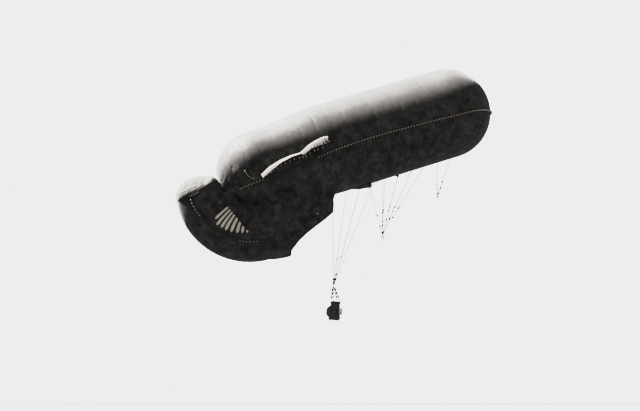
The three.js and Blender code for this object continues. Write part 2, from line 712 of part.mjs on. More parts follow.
add("gas_bag", gasBag(), "envelope", tilted);
add("steering_bag", steeringBag(), "lobe", tilted);
add("air_scoop", airScoop(), "lobe", tilted);
add("filling_neck", fillingNeck(), "webbing", tilted);
add("rope_belt", biggest(beltSolid(0).subtract(bagCutter)), "webbing", tilted);
add("valve_ring", valveRing(), "wood", tilted);
add("valve_lid", valveLid(), "wood", tilted);

for (const { name, side } of SIDES) {
  add(`side_sail_${name}`, sail(side), "sail", tilted);
  add(`steering_bag_belt_${name}`, steeringBelt(side), "webbing", tilted);
  BASKET_STAYS.forEach((place, i) => {
    const low = tie(BASKET_PIN, side * (1.75 - 0.5 * i));
    add(`basket_stay_${name}_${i + 1}`, stay(low, place, side), "rope");
  });
  TETHER_STAYS.forEach((place, i) => {
    const low = tie(TETHER_PIN, side * (2.2 - 0.5 * i));
    add(`tether_stay_${name}_${i + 1}`, stay(low, place, side), "rope");
  });
  add(`nose_stay_${name}`, stay(NOSE_KNOT.clone().add(point(0, side * 30, GAP)), NOSE_STAY, side), "rope");
}

add("nose_ring", noseRing(), "steel", balloon, NOSE_KNOT);
add("tether_shackle", shackle(true), "steel", balloon, TETHER_PIN);
add("tether_link", tetherLink(), "steel", balloon, TETHER_PIN);
add("basket_shackle", shackle(true), "steel", balloon, BASKET_PIN);
add("yoke_link", yokeLink(), "steel", balloon, BASKET_PIN);
add("basket_crown", shackle(false), "steel", balloon, point(BASKET_PIN.x, 0, BASKET_PIN.z - LINK));

for (const { name, side } of SIDES)
  for (const [end, way] of [["front", 1], ["rear", -1]])
    add(`basket_leg_${end}_${name}`, basketLeg(way, side), "rope");
add("basket", basketShell(), "wicker", hung);
add("basket_rim", basketRim(), "leather", hung);
add("floor_board", floorBoard(), "wood", hung);
add("basket_skid_front", basketSkid(1), "wood", hung);
add("basket_skid_rear", basketSkid(-1), "wood", hung);
add("side_pack", sidePack(), "canvas", hung);
for (const { name, side } of SIDES) add(`ballast_${name}`, ballast(side), "canvas", hung);
add("rope_peg", ropePeg(), "wood", hung);
add("rope_coil", ropeCoil(), "rope", hung);

export default balloon;
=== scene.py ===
"""Dresses the kite balloon: sewn skins, puffed sails, laid ropes, a woven basket and its fittings."""

import bpy
import numpy as np
from math import atan, cos, hypot, pi, radians, sin, sqrt
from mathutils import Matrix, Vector


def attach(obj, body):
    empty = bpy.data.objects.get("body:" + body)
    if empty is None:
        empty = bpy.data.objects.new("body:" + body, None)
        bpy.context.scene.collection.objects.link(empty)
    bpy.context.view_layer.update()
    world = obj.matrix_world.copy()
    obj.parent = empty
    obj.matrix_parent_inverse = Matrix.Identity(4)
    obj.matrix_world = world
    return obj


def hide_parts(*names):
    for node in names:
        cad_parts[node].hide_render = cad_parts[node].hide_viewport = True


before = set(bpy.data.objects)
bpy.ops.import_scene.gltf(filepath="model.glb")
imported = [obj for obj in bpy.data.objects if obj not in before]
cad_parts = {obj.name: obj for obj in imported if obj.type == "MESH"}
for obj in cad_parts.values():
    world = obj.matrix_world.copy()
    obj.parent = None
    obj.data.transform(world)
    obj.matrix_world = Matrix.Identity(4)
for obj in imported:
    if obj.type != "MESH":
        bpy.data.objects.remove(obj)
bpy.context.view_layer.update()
rng = np.random.default_rng(7)

# The camera and the light

PHOTO = (640, 411)
FOCAL = 1240.0  # in the photo's pixels
HORIZON_ROW = 403
SENSOR = 36.0
CAMERA_AT = Vector((-20.9333, -84.5062, -18.6589))
CAMERA_YAW = radians(12)
CAMERA_RISE = atan((HORIZON_ROW - PHOTO[1] / 2) / FOCAL)
SUN_FROM = Vector((-0.55, 0.22, 0.80))
SUN_WIDTH = radians(2.5)
KEY, FILL, BACKDROP = 5.8, 0.13, 0.385
FLOOR_Z, FLOOR_RADIUS = -18.72, 26
# The print's contrast: what light gives what white
WHITE_LEVEL, LAST_POINT = 0.4, (1.0, 0.86)
PRINT = [
    (0.0325, 0.012), (0.0705, 0.029), (0.119, 0.061), (0.168, 0.12), (0.21, 0.175), (0.263, 0.25),
    (0.33, 0.355), (0.4, 0.49), (0.458, 0.6), (0.53, 0.67), (0.6, 0.72), (0.7, 0.755),
]


def new_item(name, data):
    item = bpy.data.objects.new(name, data)
    bpy.context.collection.objects.link(item)
    return item


def add_camera():
    data = bpy.data.cameras.new("camera")
    data.sensor_width = SENSOR
    data.lens = FOCAL / PHOTO[0] * SENSOR
    data.clip_end = 500
    camera = new_item("camera", data)
    camera.location = CAMERA_AT
    camera.rotation_euler = (pi / 2 + CAMERA_RISE, 0, -CAMERA_YAW)
    bpy.context.scene.camera = camera


def add_light():
    data = bpy.data.lights.new("key", "SUN")
    data.energy = KEY
    data.angle = SUN_WIDTH
    new_item("key", data).rotation_euler = SUN_FROM.to_track_quat("Z", "Y").to_euler()
    world = bpy.data.worlds.new("studio")
    bpy.context.scene.world = world
    world.use_nodes = True
    tree = world.node_tree
    tree.nodes.clear()
    kinds = ("LightPath", "MixShader", "OutputWorld")
    path, mix, out = (tree.nodes.new("ShaderNode" + kind) for kind in kinds)
    tree.links.new(path.outputs["Is Camera Ray"], mix.inputs[0])
    tree.links.new(mix.outputs[0], out.inputs[0])
    for socket, strength in ((1, FILL), (2, BACKDROP)):
        sky = tree.nodes.new("ShaderNodeBackground")
        sky.inputs[0].default_value = (1, 1, 1, 1)
        sky.inputs[1].default_value = strength
        tree.links.new(sky.outputs[0], mix.inputs[socket])


def set_view():
    view = bpy.context.scene.view_settings
    view.view_transform = "Standard"
    view.look = "None"
    view.use_curve_mapping = True
    mapping = view.curve_mapping
    mapping.white_level = (WHITE_LEVEL,) * 3
    curve = mapping.curves[3]
    for x, y in PRINT:
        curve.points.new(x, y)
    curve.points[-1].location = LAST_POINT
    for point in curve.points:
        point.handle_type = "AUTO_CLAMPED"
    mapping.update()


add_camera()
add_light()
set_view()

# Shapes that repeat the model's own, in metres. x and z run along and across the gas bag's axis

PITCH = radians(18.8)
NOSE_TIP, RADIUS, CYLINDER, TAPER, TAIL_RADIUS, TAIL_LENGTH = 10.0, 3.23, 9.2, 5.27, 2.77, 3.07
NOSE_CENTRE = NOSE_TIP - RADIUS
TAPER_START = NOSE_CENTRE - CYLINDER
TAIL_START = TAPER_START - TAPER
TAIL_TIP = TAIL_START - TAIL_LENGTH
BELT_X = [-9.9, -8.3, -6.2, -4.13, -2.7, 0, 3, 5, 6.77]
BELT_Z = [-1.1, -1.03, -0.9, -0.73, -0.58, -0.5, -0.57, -0.64, -0.73]
LOBE_X, LOBE_Z, LOBE_MIDDLE, LOBE_OUTER, LOBE_HALF = -8.885, -1.087, 3.057, 5.115, 1.9
LOBE_TIP, LOBE_FULL, FLARE_FROM = -32.0, -8.0, 88.0
CORNER_SWEEP = [-20, -13.8, -9.4, -3.7]
CORNER_TURN = [113, 113, 113, 114.5]
CORNER_LOW = 0.18
RIM_X = [-7.62, -7.58, -6.9, -6.2, -5.5, -4.7, -3.96, -3.8, -3.72, -3.48, -3.3]
RIM_Z = [-6.9, -6.12, -5.64, -5.31, -5.06, -4.78, -4.48, -4.06, -3.65, -3.33, -3.05]
GAP = 0.0003  # between pieces that touch
SIDES = (("starboard", -1), ("port", 1))


def smooth_step(x, low, high):
    t = np.clip((x - low) / (high - low), 0, 1)
    return t * t * (3 - 2 * t)


def bell(x, width, power=2):
    return np.exp(-((x / width) ** power))


def unit(v):
    return v / np.linalg.norm(v, axis=-1, keepdims=True)


def distances(path):
    """How far along a path each of its points is."""
    return np.r_[0, np.cumsum(np.linalg.norm(np.diff(path, axis=0), axis=1))]


def xyz(x, y, z):
    return np.stack(np.broadcast_arrays(x, y, z), -1)


def circle(count):
    return np.arange(count) / count * 2 * pi


def tilted(p, angle, at=(0, 0, 0)):
    """Points turned nose up, then moved."""
    x, y, z = np.moveaxis(np.asarray(p, float), -1, 0)
    c, s = cos(angle), sin(angle)
    return xyz(x * c - z * s + at[0], y + at[1], x * s + z * c + at[2])


def to_part(p):
    """From the frame of the gas bag's axis."""
    return tilted(p, PITCH)


def bag_radius(x):
    x = np.asarray(x, float)
    nose = np.sqrt(np.maximum(0, RADIUS**2 - np.maximum(0, x - NOSE_CENTRE) ** 2))
    body = RADIUS + (TAIL_RADIUS - RADIUS) * smooth_step(TAPER_START - x, 0, TAPER)
    tail = TAIL_RADIUS * np.sqrt(1 - np.clip((TAIL_START - x) / TAIL_LENGTH, 0, 1) ** 2)
    return np.where(x > NOSE_CENTRE, nose, np.where(x > TAIL_START, body, tail))


def belt_height(x):
    return np.interp(x, BELT_X, BELT_Z)


def bag_point(x, down, out=0.0):
    """On the gas bag's skin at an angle down from its top, positive to starboard."""
    x, down = np.asarray(x, float), np.asarray(down, float)
    slope = np.clip((bag_radius(x + 0.01) - bag_radius(x - 0.01)) / 0.02, -6, 6)
    size = np.sqrt(1 + slope**2)
    r = bag_radius(x) + out / size
    return xyz(x - out * slope / size, -r * np.sin(down), r * np.cos(down))


def bag_side(x, height, side, out=0.0):
    """The same by the height beside the axis. Side is -1 to starboard."""
    ratio = np.clip(np.asarray(height) / bag_radius(x), -1, 1)
    return bag_point(x, -side * np.arccos(ratio), out)


def lobe_size(sweep, out):
    """Half the depth and half the width of the steering bag's section, which flares at the mouth."""
    over = np.maximum(0, sweep - FLARE_FROM)
    return LOBE_OUTER - LOBE_MIDDLE + 0.025 * over + out, LOBE_HALF + 0.00375 * over + out


def lobe_point(sweep, turn, out=0.0):
    """On the steering bag, by degrees of its sweep and the turn round its section from the outer edge."""
    sweep, turn = np.asarray(sweep, float), np.asarray(turn, float)
    share = np.clip((LOBE_FULL - sweep) / (LOBE_FULL - LOBE_TIP), 0, 1)
    inner = smooth_step(np.abs(turn), radians(80), radians(118))
    full = np.maximum(1e-4, 1 - share ** (2 + 8 * inner))
    depth, width = lobe_size(sweep, out)
    reach = LOBE_MIDDLE + depth * np.maximum(1e-4, 1 - share**2) ** 0.75 * np.cos(turn)
    x = LOBE_X - reach * np.cos(np.radians(sweep))
    z = LOBE_Z - reach * np.sin(np.radians(sweep))
    return xyz(x, width * np.sqrt(full) * lobe_side(sweep, turn), z)


def lobe_side(sweep, turn):
    """How far out a side is, as a share of the half width. By the tail it stays full up to a corner."""
    plain = np.sin(np.abs(turn))
    corner = np.radians(np.interp(sweep, CORNER_SWEEP, CORNER_TURN))
    low = np.minimum(plain, CORNER_LOW)
    wall = plain + (1 - plain) * (1 - smooth_step(sweep, -3, 10)) * (np.abs(turn) > pi / 2)
    square = low + (wall - low) * (1 - smooth_step(np.abs(turn) - corner, 0, radians(5)))
    lag = 0.25 * np.clip(np.degrees(np.abs(turn) - corner), 0, 50)
    hold = 1 - smooth_step(sweep - lag, -3.3, -2.3)
    return np.sign(turn) * (wall + hold * (square - wall))


# Materials

MATERIALS = {}
WARMTH = 0.06


def grey(shade):
    return (shade * (1 + WARMTH), shade, shade * (1 - 1.3 * WARMTH))


class Shader:
    """A node tree, built by short calls."""

    def __init__(self, name, **sockets):
        self.material = MATERIALS[name] = bpy.data.materials.new(name)
        self.material.use_nodes = True
        self.nodes = self.material.node_tree.nodes
        self.links = self.material.node_tree.links
        self.set(**sockets)

    def put(self, socket, value):
        if isinstance(value, bpy.types.NodeSocket):
            self.links.new(value, socket)
        else:
            socket.default_value = value

    def set(self, **sockets):
        for key, value in sockets.items():
            self.put(self.nodes["Principled BSDF"].inputs[key.replace("_", " ")], value)

    def node(self, kind, out=0, settings=None, **inputs):
        made = self.nodes.new("ShaderNode" + kind)
        for key, value in (settings or {}).items():
            setattr(made, key, value)
        for key, value in inputs.items():
            key = int(key[1:]) if key[0] == "_" else key.replace("_", " ")
            self.put(made.inputs[key], value)
        return made.outputs[out]

    def coords(self, scale=(1, 1, 1), kind="Object"):
        return self.node("Mapping", Vector=self.node("TexCoord", kind), Scale=scale)

    def noise(self, vector, scale, detail, rough):
        return self.node("TexNoise", "Fac", Vector=vector, Scale=scale, Detail=detail, Roughness=rough)

    def wave(self, vector, scale, distort, axis):
        bands = {"bands_direction": axis}
        return self.node("TexWave", "Fac", bands, Vector=vector, Scale=scale, Distortion=distort)

    def maths(self, kind, a, b=0.0):
        return self.node("Math", 0, {"operation": kind}, _0=a, _1=b)

    def spread(self, value, low, high, to_low=0.0, to_high=1.0):
        return self.node("MapRange", _0=value, _1=low, _2=high, _3=to_low, _4=to_high)

    def mix(self, share, *colours):
        made = self.nodes.new("ShaderNodeMix")
        made.data_type = "RGBA"
        self.put(made.inputs[0], share)
        for socket, colour in zip((6, 7), colours):
            self.put(made.inputs[socket], (*grey(colour), 1) if isinstance(colour, float) else colour)
        return made.outputs[2]

    def bump(self, height, distance, strength, **under):
        made = self.node("Bump", Height=height, Distance=distance, Strength=strength, **under)
        self.set(Normal=made)
        return made


def cloth(name, shade, weave=400.0, rough=0.7, stain=0.25, seams=None, grime=None):
    """Woven cotton: threads both ways, stains and scuffs, and seams that far apart on the chart.

    Grime is the chart's axis, and from where to where along it the cloth gets blotchy.
    """
    s = Shader(name, Sheen_Weight=0.25, Sheen_Roughness=0.5)
    place = s.coords()
    mottle = s.noise(place, 3.0, 6, 0.65)
    streaks = s.noise(s.coords((0.5, 0.5, 4.0)), 1.3, 5, 0.6)
    base = s.mix(s.spread(s.noise(place, 0.35, 5, 0.6), 0.3, 0.7), shade * (1 - stain), shade * (1 + stain))
    base = s.mix(s.spread(mottle, 0.45, 0.8, 0, 0.35), base, shade * 0.55)
    base = s.mix(s.spread(streaks, 0.55, 0.8, 0, 0.3), base, shade * 1.5)
    if grime:
        axis, start, end = grime
        along = s.node("SeparateXYZ", axis, Vector=s.coords(kind="UV"))
        amount = s.spread(s.maths("ABSOLUTE", along) if axis else along, start, end, 0, 0.8)
        patchy = s.noise(place, 1.7, 8, 0.72)
        for low, high, tone in ((0.5, 0.62, 2.1), (0.49, 0.38, 0.3)):
            base = s.mix(s.maths("MULTIPLY", amount, s.spread(patchy, low, high)), base, shade * tone)
    s.set(Roughness=s.spread(mottle, 0.3, 0.7, rough - 0.08, rough + 0.1))
    threads = s.maths("MULTIPLY", s.wave(place, weave, 0.4, "X"), s.wave(place, weave, 0.4, "Z"))
    normal = s.bump(s.noise(place, 14.0, 6, 0.6), 0.012, 0.5)
    normal = s.bump(threads, 0.0008, 0.5, Normal=normal)
    if seams:
        across = s.maths("PINGPONG", s.node("SeparateXYZ", Vector=s.coords(kind="UV")), seams / 2)
        tape = s.maths("GREATER_THAN", s.spread(across, 0.0, 0.028, 1.0, 0.0), 0.35)
        base = s.mix(s.maths("MULTIPLY", tape, 0.35), base, shade * 0.6)
        s.bump(tape, 0.004, 0.8, Normal=normal)
    s.set(Base_Color=base)


def grained(name, shade, fine, broad, first, second, rough, bump, stretch=1, **sockets):
    """A shade under a fine and a broad noise.

    First is which noise, its range and the two tones between them. Second lays a third tone over that.
    """
    s = Shader(name, **sockets)
    noises = s.noise(s.coords((1, 1, stretch)), *fine), s.noise(s.coords(), *broad)
    which, low, high, dark, light = first
    base = s.mix(s.spread(noises[which], low, high), shade * dark, shade * light)
    which, low, high, share, tone = second
    s.set(Base_Color=s.mix(s.spread(noises[which], low, high, 0, share), base, shade * tone))
    if rough:
        s.set(Roughness=s.spread(noises[0], 0.3, 0.7, *rough))
    s.bump(noises[0], *bump)


def leather():
    s = Shader("leather")
    place = s.coords()
    wear = s.noise(place, 6, 6, 0.65)
    s.set(Base_Color=s.mix(s.spread(wear, 0.4, 0.72), 0.035, 0.11))
    s.set(Roughness=s.spread(wear, 0.3, 0.75, 0.42, 0.68))
    normal = s.bump(s.noise(place, 30, 5, 0.6), 0.003, 0.5)
    s.bump(s.node("TexVoronoi", "Distance", Vector=place, Scale=210.0), 0.0009, 0.5, Normal=normal)


def webbing(name, shade):
    s = Shader(name, Roughness=0.8, Sheen_Weight=0.2)
    place = s.coords()
    rib = s.wave(place, 160, 0.6, "DIAGONAL")
    base = s.mix(s.spread(s.noise(place, 5, 6, 0.6), 0.35, 0.75), shade, shade * 0.55)
    s.set(Base_Color=s.mix(s.maths("MULTIPLY", rib, 0.3), base, shade * 0.5))
    s.bump(rib, 0.0012, 0.7)


# Pieces


def make(name, points, faces, material, place=to_part, body="balloon", replaces=None, slot=None, uv=None):
    """One piece that rides a body. Place takes its points into the part's frame."""
    data = bpy.data.meshes.new(name)
    data.from_pydata(place(np.asarray(points).reshape(-1, 3)).tolist(), [], faces)
    data.validate()
    data.polygons.foreach_set("use_smooth", [True] * len(data.polygons))
    if uv is not None:
        corners = np.empty(len(data.loops), int)
        data.loops.foreach_get("vertex_index", corners)
        data.uv_layers.new(name="panels").data.foreach_set("uv", uv[corners].ravel())
    data.update()
    data.materials.append(MATERIALS[material])
    item = new_item(name, data)
    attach(item, body)
    if replaces:
        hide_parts(replaces)
    return item


def grid_faces(rows, columns, wrap=False, close=False, flip=False):
    """Faces between rows of points. Wrap joins each row's ends, and close the last row to the first."""
    faces = []
    for i in range(rows if close else rows - 1):
        a, b = i * columns, (i + 1) % rows * columns
        for j in range(columns if wrap else columns - 1):
            k = (j + 1) % columns
            face = (a + j, b + j, b + k, a + k)
            faces.append(face[::-1] if flip else face)
    return faces


def thicken(item, thickness, offset=-1.0):
    shell = item.modifiers.new("skin", "SOLIDIFY")
    shell.thickness = thickness
    shell.offset = offset
    return item


# Ropes


def frames(path):
    """Two directions across a path at each of its points, without twist, and the one along it."""
    along = unit(np.gradient(np.asarray(path, float), axis=0))
    start = (0, 0, 1.0) if abs(along[0][2]) < 0.9 else (1.0, 0, 0)
    sides = [unit(np.cross(along[0], start))]
    for direction in along[1:]:
        sides.append(unit(sides[-1] - direction * np.dot(sides[-1], direction)))
    sides = np.array(sides)
    return sides, np.cross(along, sides), along


def resample(path, step):
    path = np.asarray(path, float)
    lengths = distances(path)
    places = np.linspace(0, lengths[-1], max(3, int(lengths[-1] / step) + 1))
    return xyz(*(np.interp(places, lengths, column) for column in path.T))


def tube_mesh(path, radius, sides=8, shape=None, closed=False):
    """Points and faces of a tube. shape gives each point's radius by distance and bearing."""
    path = np.asarray(path, float)
    a, b, _ = frames(np.vstack([path, path[:2]]) if closed else path)
    bearing = circle(sides)
    size = np.full((len(path), sides), 1.0) * np.asarray(radius).reshape(-1, 1)
    if shape is not None:
        size = size * shape(distances(path)[:, None], bearing)
    a, b = a[: len(path), None], b[: len(path), None]
    ring = np.cos(bearing)[:, None] * a + np.sin(bearing)[:, None] * b
    faces = grid_faces(len(path), sides, wrap=True, close=closed)
    if not closed:
        last = (len(path) - 1) * sides
        faces += [tuple(range(sides)), tuple(last + j for j in reversed(range(sides)))]
    return (path[:, None] + ring * size[..., None]).reshape(-1, 3), faces


def laid(pitch):
    """Three strands laid round each other."""
    return lambda length, bearing: 0.86 + 0.14 * np.abs(np.sin(1.5 * (bearing + 2 * pi * length / pitch)))


def loop_points(centre, a, b, count):
    """Round an ellipse that is given by its centre and half axes."""
    t = circle(count)[:, None]
    return np.asarray(centre) + np.cos(t) * a + np.sin(t) * b


SPINDLE_AT = np.array([0, 0.04, 0.14, 0.3, 0.44, 0.5, 0.56, 0.7, 0.86, 0.96, 1])
SPINDLE_WIDTH = np.array([0.25, 0.7, 0.97, 1, 0.84, 0.78, 0.84, 1, 0.97, 0.7, 0.25])


class Parts:
    """Meshes gathered into one piece."""

    def __init__(self, place=to_part, body="balloon"):
        self.place, self.body = place, body
        self.points, self.faces, self.count = [], [], 0

    def add(self, points, faces):
        self.points.append(np.asarray(points).reshape(-1, 3))
        self.faces += [tuple(k + self.count for k in face) for face in faces]
        self.count += len(self.points[-1])

    def tube(self, *args, **kwargs):
        self.add(*tube_mesh(*args, **kwargs))

    def rope(self, path, radius, step=0.03, pitch=0.11):
        self.tube(resample(path, step), radius, 9, laid(pitch))

    def loop(self, centre, a, b, count, radius, sides):
        self.tube(loop_points(centre, a, b, count), radius, sides, closed=True)

    def flat_loop(self, centre, reach, count, radius, sides):
        self.loop(centre, (reach, 0, 0), (0, reach, 0), count, radius, sides)

    def spindle(self, start, end, radius, sides=10):
        """A turned toggle: rounded ends, a waist in the middle."""
        self.tube(start + (end - start) * SPINDLE_AT[:, None], SPINDLE_WIDTH * radius, sides)

    def make(self, name, material, **kwargs):
        return make(name, np.vstack(self.points), self.faces, material, self.place, self.body, **kwargs)


# The gas bag's skin: rings close to each seam, creases where the cloth is pinched

SEAM_END, SEAM_COUNT, CREASES_A_SEAM = 2.2, 19, 6
SEAMS = np.linspace(NOSE_CENTRE + SEAM_END, TAIL_START - SEAM_END, SEAM_COUNT)
SEAM_RINGS = (-0.055, -0.018, 0, 0.018, 0.055)
HULL_COLUMNS, NOSE_RINGS, TAIL_RINGS = 164, 36, 46
RING_STEP, RING_LEAST = 0.11, 0.012
VALVE_HOLE, NOSE_FLAT = 0.368, 0.9
TAIL_WRINKLES = [
    (-10.58, 92, 0.62, -0.012), (-10.47, 95, 0.6, 0.006), (-10.36, 97, 0.55, -0.012),
    (-10.2, 92, 0.45, -0.01), (-9.95, 84, 0.4, -0.01), (-9.6, 78, 0.35, -0.01),
]


def crease_field(x, down, creases):
    """How far creases move the skin. Each is x, angle down, length, depth, width, and how far it leans."""
    total = np.zeros(np.broadcast(x, down).shape)
    for at, angle, length, depth, width, lean in creases:
        along = (down - angle) * RADIUS
        total += depth * bell(along, length, 4) * bell(x - at - lean * along, width)
    return total


def hull_creases():
    found = []
    for side in (1, -1):
        for seam in SEAMS:
            for _ in range(CREASES_A_SEAM):
                angle = radians(rng.uniform(36, 82))
                shape = rng.uniform(0.1, 0.34), rng.uniform(-0.016, -0.006), rng.uniform(0.022, 0.045)
                found.append((seam + rng.normal(0, 0.05), side * angle, *shape, rng.uniform(0.02, 0.2)))
        for x, angle, length, depth in TAIL_WRINKLES:
            found.append((x, side * radians(angle), length, depth, 0.045, -0.14))
    return found


def hull_rings():
    """Where the rings of the skin are along its profile, closer at each seam."""
    x = [NOSE_CENTRE + sqrt(RADIUS**2 - r * r) for r in np.linspace(VALVE_HOLE, NOSE_FLAT, 6)]
    nose = np.linspace(np.arcsin(NOSE_FLAT / RADIUS), pi / 2, NOSE_RINGS)
    tail = np.linspace(0, pi / 2 - 0.005, TAIL_RINGS)
    x += (NOSE_CENTRE + RADIUS * np.cos(nose)).tolist()
    x += np.arange(NOSE_CENTRE, TAIL_START, -RING_STEP).tolist()
    x += (TAIL_START - TAIL_LENGTH * np.sin(tail)).tolist()
    x += np.add.outer(SEAMS, SEAM_RINGS).ravel().tolist()
    x = np.unique(np.round(x, 4))[::-1]
    keep = [x[0]]
    for value in x[1:]:
        if keep[-1] - value > RING_LEAST or value < TAIL_TIP + 0.02:
            keep.append(value)
    return np.array(keep)


def belt_angle(x):
    return np.arccos(np.clip(belt_height(x) / np.maximum(bag_radius(x), 1.2), -1, 1))


def gas_bag():
    x = hull_rings()
    down = circle(HULL_COLUMNS)
    down = np.where(down > pi, down - 2 * pi, down)
    grid_x, grid_down = np.meshgrid(x, down, indexing="ij")
    nearest = np.min(np.abs(grid_x[..., None] - SEAMS), -1)
    groove = bell(np.abs(grid_down) - belt_angle(grid_x), 0.035)
    full = np.clip((bag_radius(grid_x) - 0.5) / 1.5, 0, 1)
    out = (0.004 * bell(nearest, 0.02, 4) - 0.006 * bell(nearest, 0.16) - 0.010 * groove) * full
    out += crease_field(grid_x, grid_down, hull_creases())
    points = bag_point(grid_x, grid_down, out).reshape(-1, 3)
    tip, last = len(points), (len(x) - 1) * HULL_COLUMNS
    faces = grid_faces(len(x), HULL_COLUMNS, wrap=True)
    faces += [(last + j, tip, last + (j + 1) % HULL_COLUMNS) for j in range(HULL_COLUMNS)]
    points = np.vstack([points, [[TAIL_TIP, 0, 0]]])
    chart = np.stack([grid_x, grid_down * RADIUS], -1).reshape(-1, 2)
    chart = np.vstack([chart, [[TAIL_TIP, 0]]])
    thicken(make("envelope", points, faces, "envelope", replaces="gas_bag", uv=chart), 0.008)


# The steering bag: a swept crescent, gathered by its belt and pleated on its sides

FOLD_TURN = [0, 17.5, 37, 51, 61.5, 70, 79, 89.3, 98.6, 110, 118]
FOLD_SWEEP = [-6.8, -6.87, -7.0, -7.6, -8.2, -9.4, -12.4, -16.0, -18.9, -21.6, -22.4]
DOT_SWEEP = [-6.1, 4.4, 16.2, 57, 77.5]
DOT_TURN = [51.2, 54, 57.3, 64, 65.5]
LOBE_ROWS, LOBE_COLUMNS = 270, 200
ROW_SHARE = [0, 0.16, 0.19, 0.23, 1]
ROW_SWEEP = [-31.9, -8.2, -4.2, -1.4, 165]


def rim_ahead(point):
    """How far a point is ahead of the mouth's rim."""
    return point[..., 0] - np.interp(point[..., 2], RIM_Z, RIM_X)


def inside_bag(points, by=0.09):
    """Above zero where points are deeper than that inside the gas bag."""
    return bag_radius(points[:, 0]) - by - np.hypot(points[:, 1], points[:, 2])


def belt_turn(sweep):
    return np.radians(np.interp(sweep, DOT_SWEEP, DOT_TURN))


def lobe_relief(sweep, turn):
    """Seams, the roped belt's groove, wrinkles from the tail, and the fold at the end of the cap."""
    bearing = np.degrees(np.abs(turn))
    out = -0.022 * bell((sweep - 3) % 9.0 - 4.5, 0.4) * smooth_step(sweep, 12, 22)
    near = np.clip(1 - (sweep + 32) / 42, 0, 1)
    ripples = np.sin(turn * 17 + 1.5 * np.sin(sweep * 0.09)) + 0.7 * np.sin(turn * 29 + 2 + sweep * 0.05)
    out += 0.016 * near**1.5 * ripples
    out -= 0.05 * bell(np.abs(turn) - belt_turn(sweep), 0.06) * smooth_step(sweep, -12, -3)
    below = sweep - np.interp(bearing, FOLD_TURN, FOLD_SWEEP)
    metres = radians(1) * below * (LOBE_MIDDLE + (LOBE_OUTER - LOBE_MIDDLE) * np.cos(turn))
    roof = np.where(metres < 0, bell(metres, 0.62), np.exp(-metres / 0.16))
    along = smooth_step(bearing, 4, 30) * (1 - smooth_step(bearing, 112, 124))
    gather = 0.006 * np.sin(metres * 23 + 1.6 * np.sin(turn * 3)) * bell(metres + 0.25, 0.5)
    return out + (0.012 + 0.1 * along) * roof + gather * along * (metres < 0)


def clip(points, faces, value):
    """Cuts faces where a value at the points passes zero, and keeps the side below it.

    Returns the faces, and a function that brings an array along, with a row for each cut.
    """
    kept, cuts, seen = [], [], {}
    below = (value <= 0).tolist()
    for face in faces:
        side = [below[k] for k in face]
        if all(side):
            kept.append(face)
            continue
        corners = []
        for a, b in zip(face, face[1:] + face[:1]):
            if below[a]:
                corners.append(a)
            if below[a] != below[b]:
                edge = (min(a, b), max(a, b))
                if edge not in seen:
                    seen[edge] = len(points) + len(cuts)
                    cuts.append((*edge, value[edge[0]] / (value[edge[0]] - value[edge[1]])))
                corners.append(seen[edge])
        if len(corners) > 2:
            kept.append(tuple(corners))
    first, second, share = (np.array(column) for column in zip(*cuts))
    share = share[:, None]
    return kept, lambda array: np.vstack([array, array[first] * (1 - share) + array[second] * share])


def steering_bag():
    turn = (np.arange(LOBE_COLUMNS) / LOBE_COLUMNS * 2 - 1) * pi
    sweep = np.interp(np.linspace(0, 1, LOBE_ROWS), ROW_SHARE, ROW_SWEEP)
    sweep, turn = np.meshgrid(sweep, turn, indexing="ij")
    points = lobe_point(sweep, turn, lobe_relief(sweep, turn)).reshape(-1, 3)
    chart = np.stack([np.radians(sweep) * 4.0, turn * LOBE_HALF], -1).reshape(-1, 2)
    faces = grid_faces(LOBE_ROWS, LOBE_COLUMNS, wrap=True)
    for value in (rim_ahead, inside_bag):
        faces, along = clip(points, faces, value(points))
        points, chart = along(points), along(chart)
    used = np.unique(np.concatenate([np.array(face) for face in faces]))
    place = np.full(len(points), -1)
    place[used] = np.arange(len(used))
    faces = [tuple(place[list(face)].tolist()) for face in faces]
    item = make("steering_cloth", points[used], faces, "lobe", replaces="steering_bag", uv=chart[used])
    item.data.set_sharp_from_angle(angle=radians(42))
    thicken(item, 0.006)


# Eight pleats on each side of the steering bag. Their near-white cloth is painted light for the sun falling
# on them, and the dark strips between them are painted shade

PLEAT_SWEEP = np.array([25.2, 30.7, 35.9, 41.2, 47.2, 53.5, 59.2, 64.7])
PLEAT_LOW = [76, 69.8, 71.5, 71.3, 74, 76, 78.5, 81]
PLEAT_HIGH = [110, 109.3, 108.3, 106.5, 102.8, 97.8, 91.3, 85.3]
PLEAT_ACROSS = np.array([-1, -0.97, -0.9, -0.78, -0.62, -0.42, -0.2, 0, 0.2, 0.42, 0.62, 0.78, 0.9, 0.97, 1])
PLEAT_ROWS, PLEAT_SHARE, PLEAT_RISE = 30, 0.335, 0.19


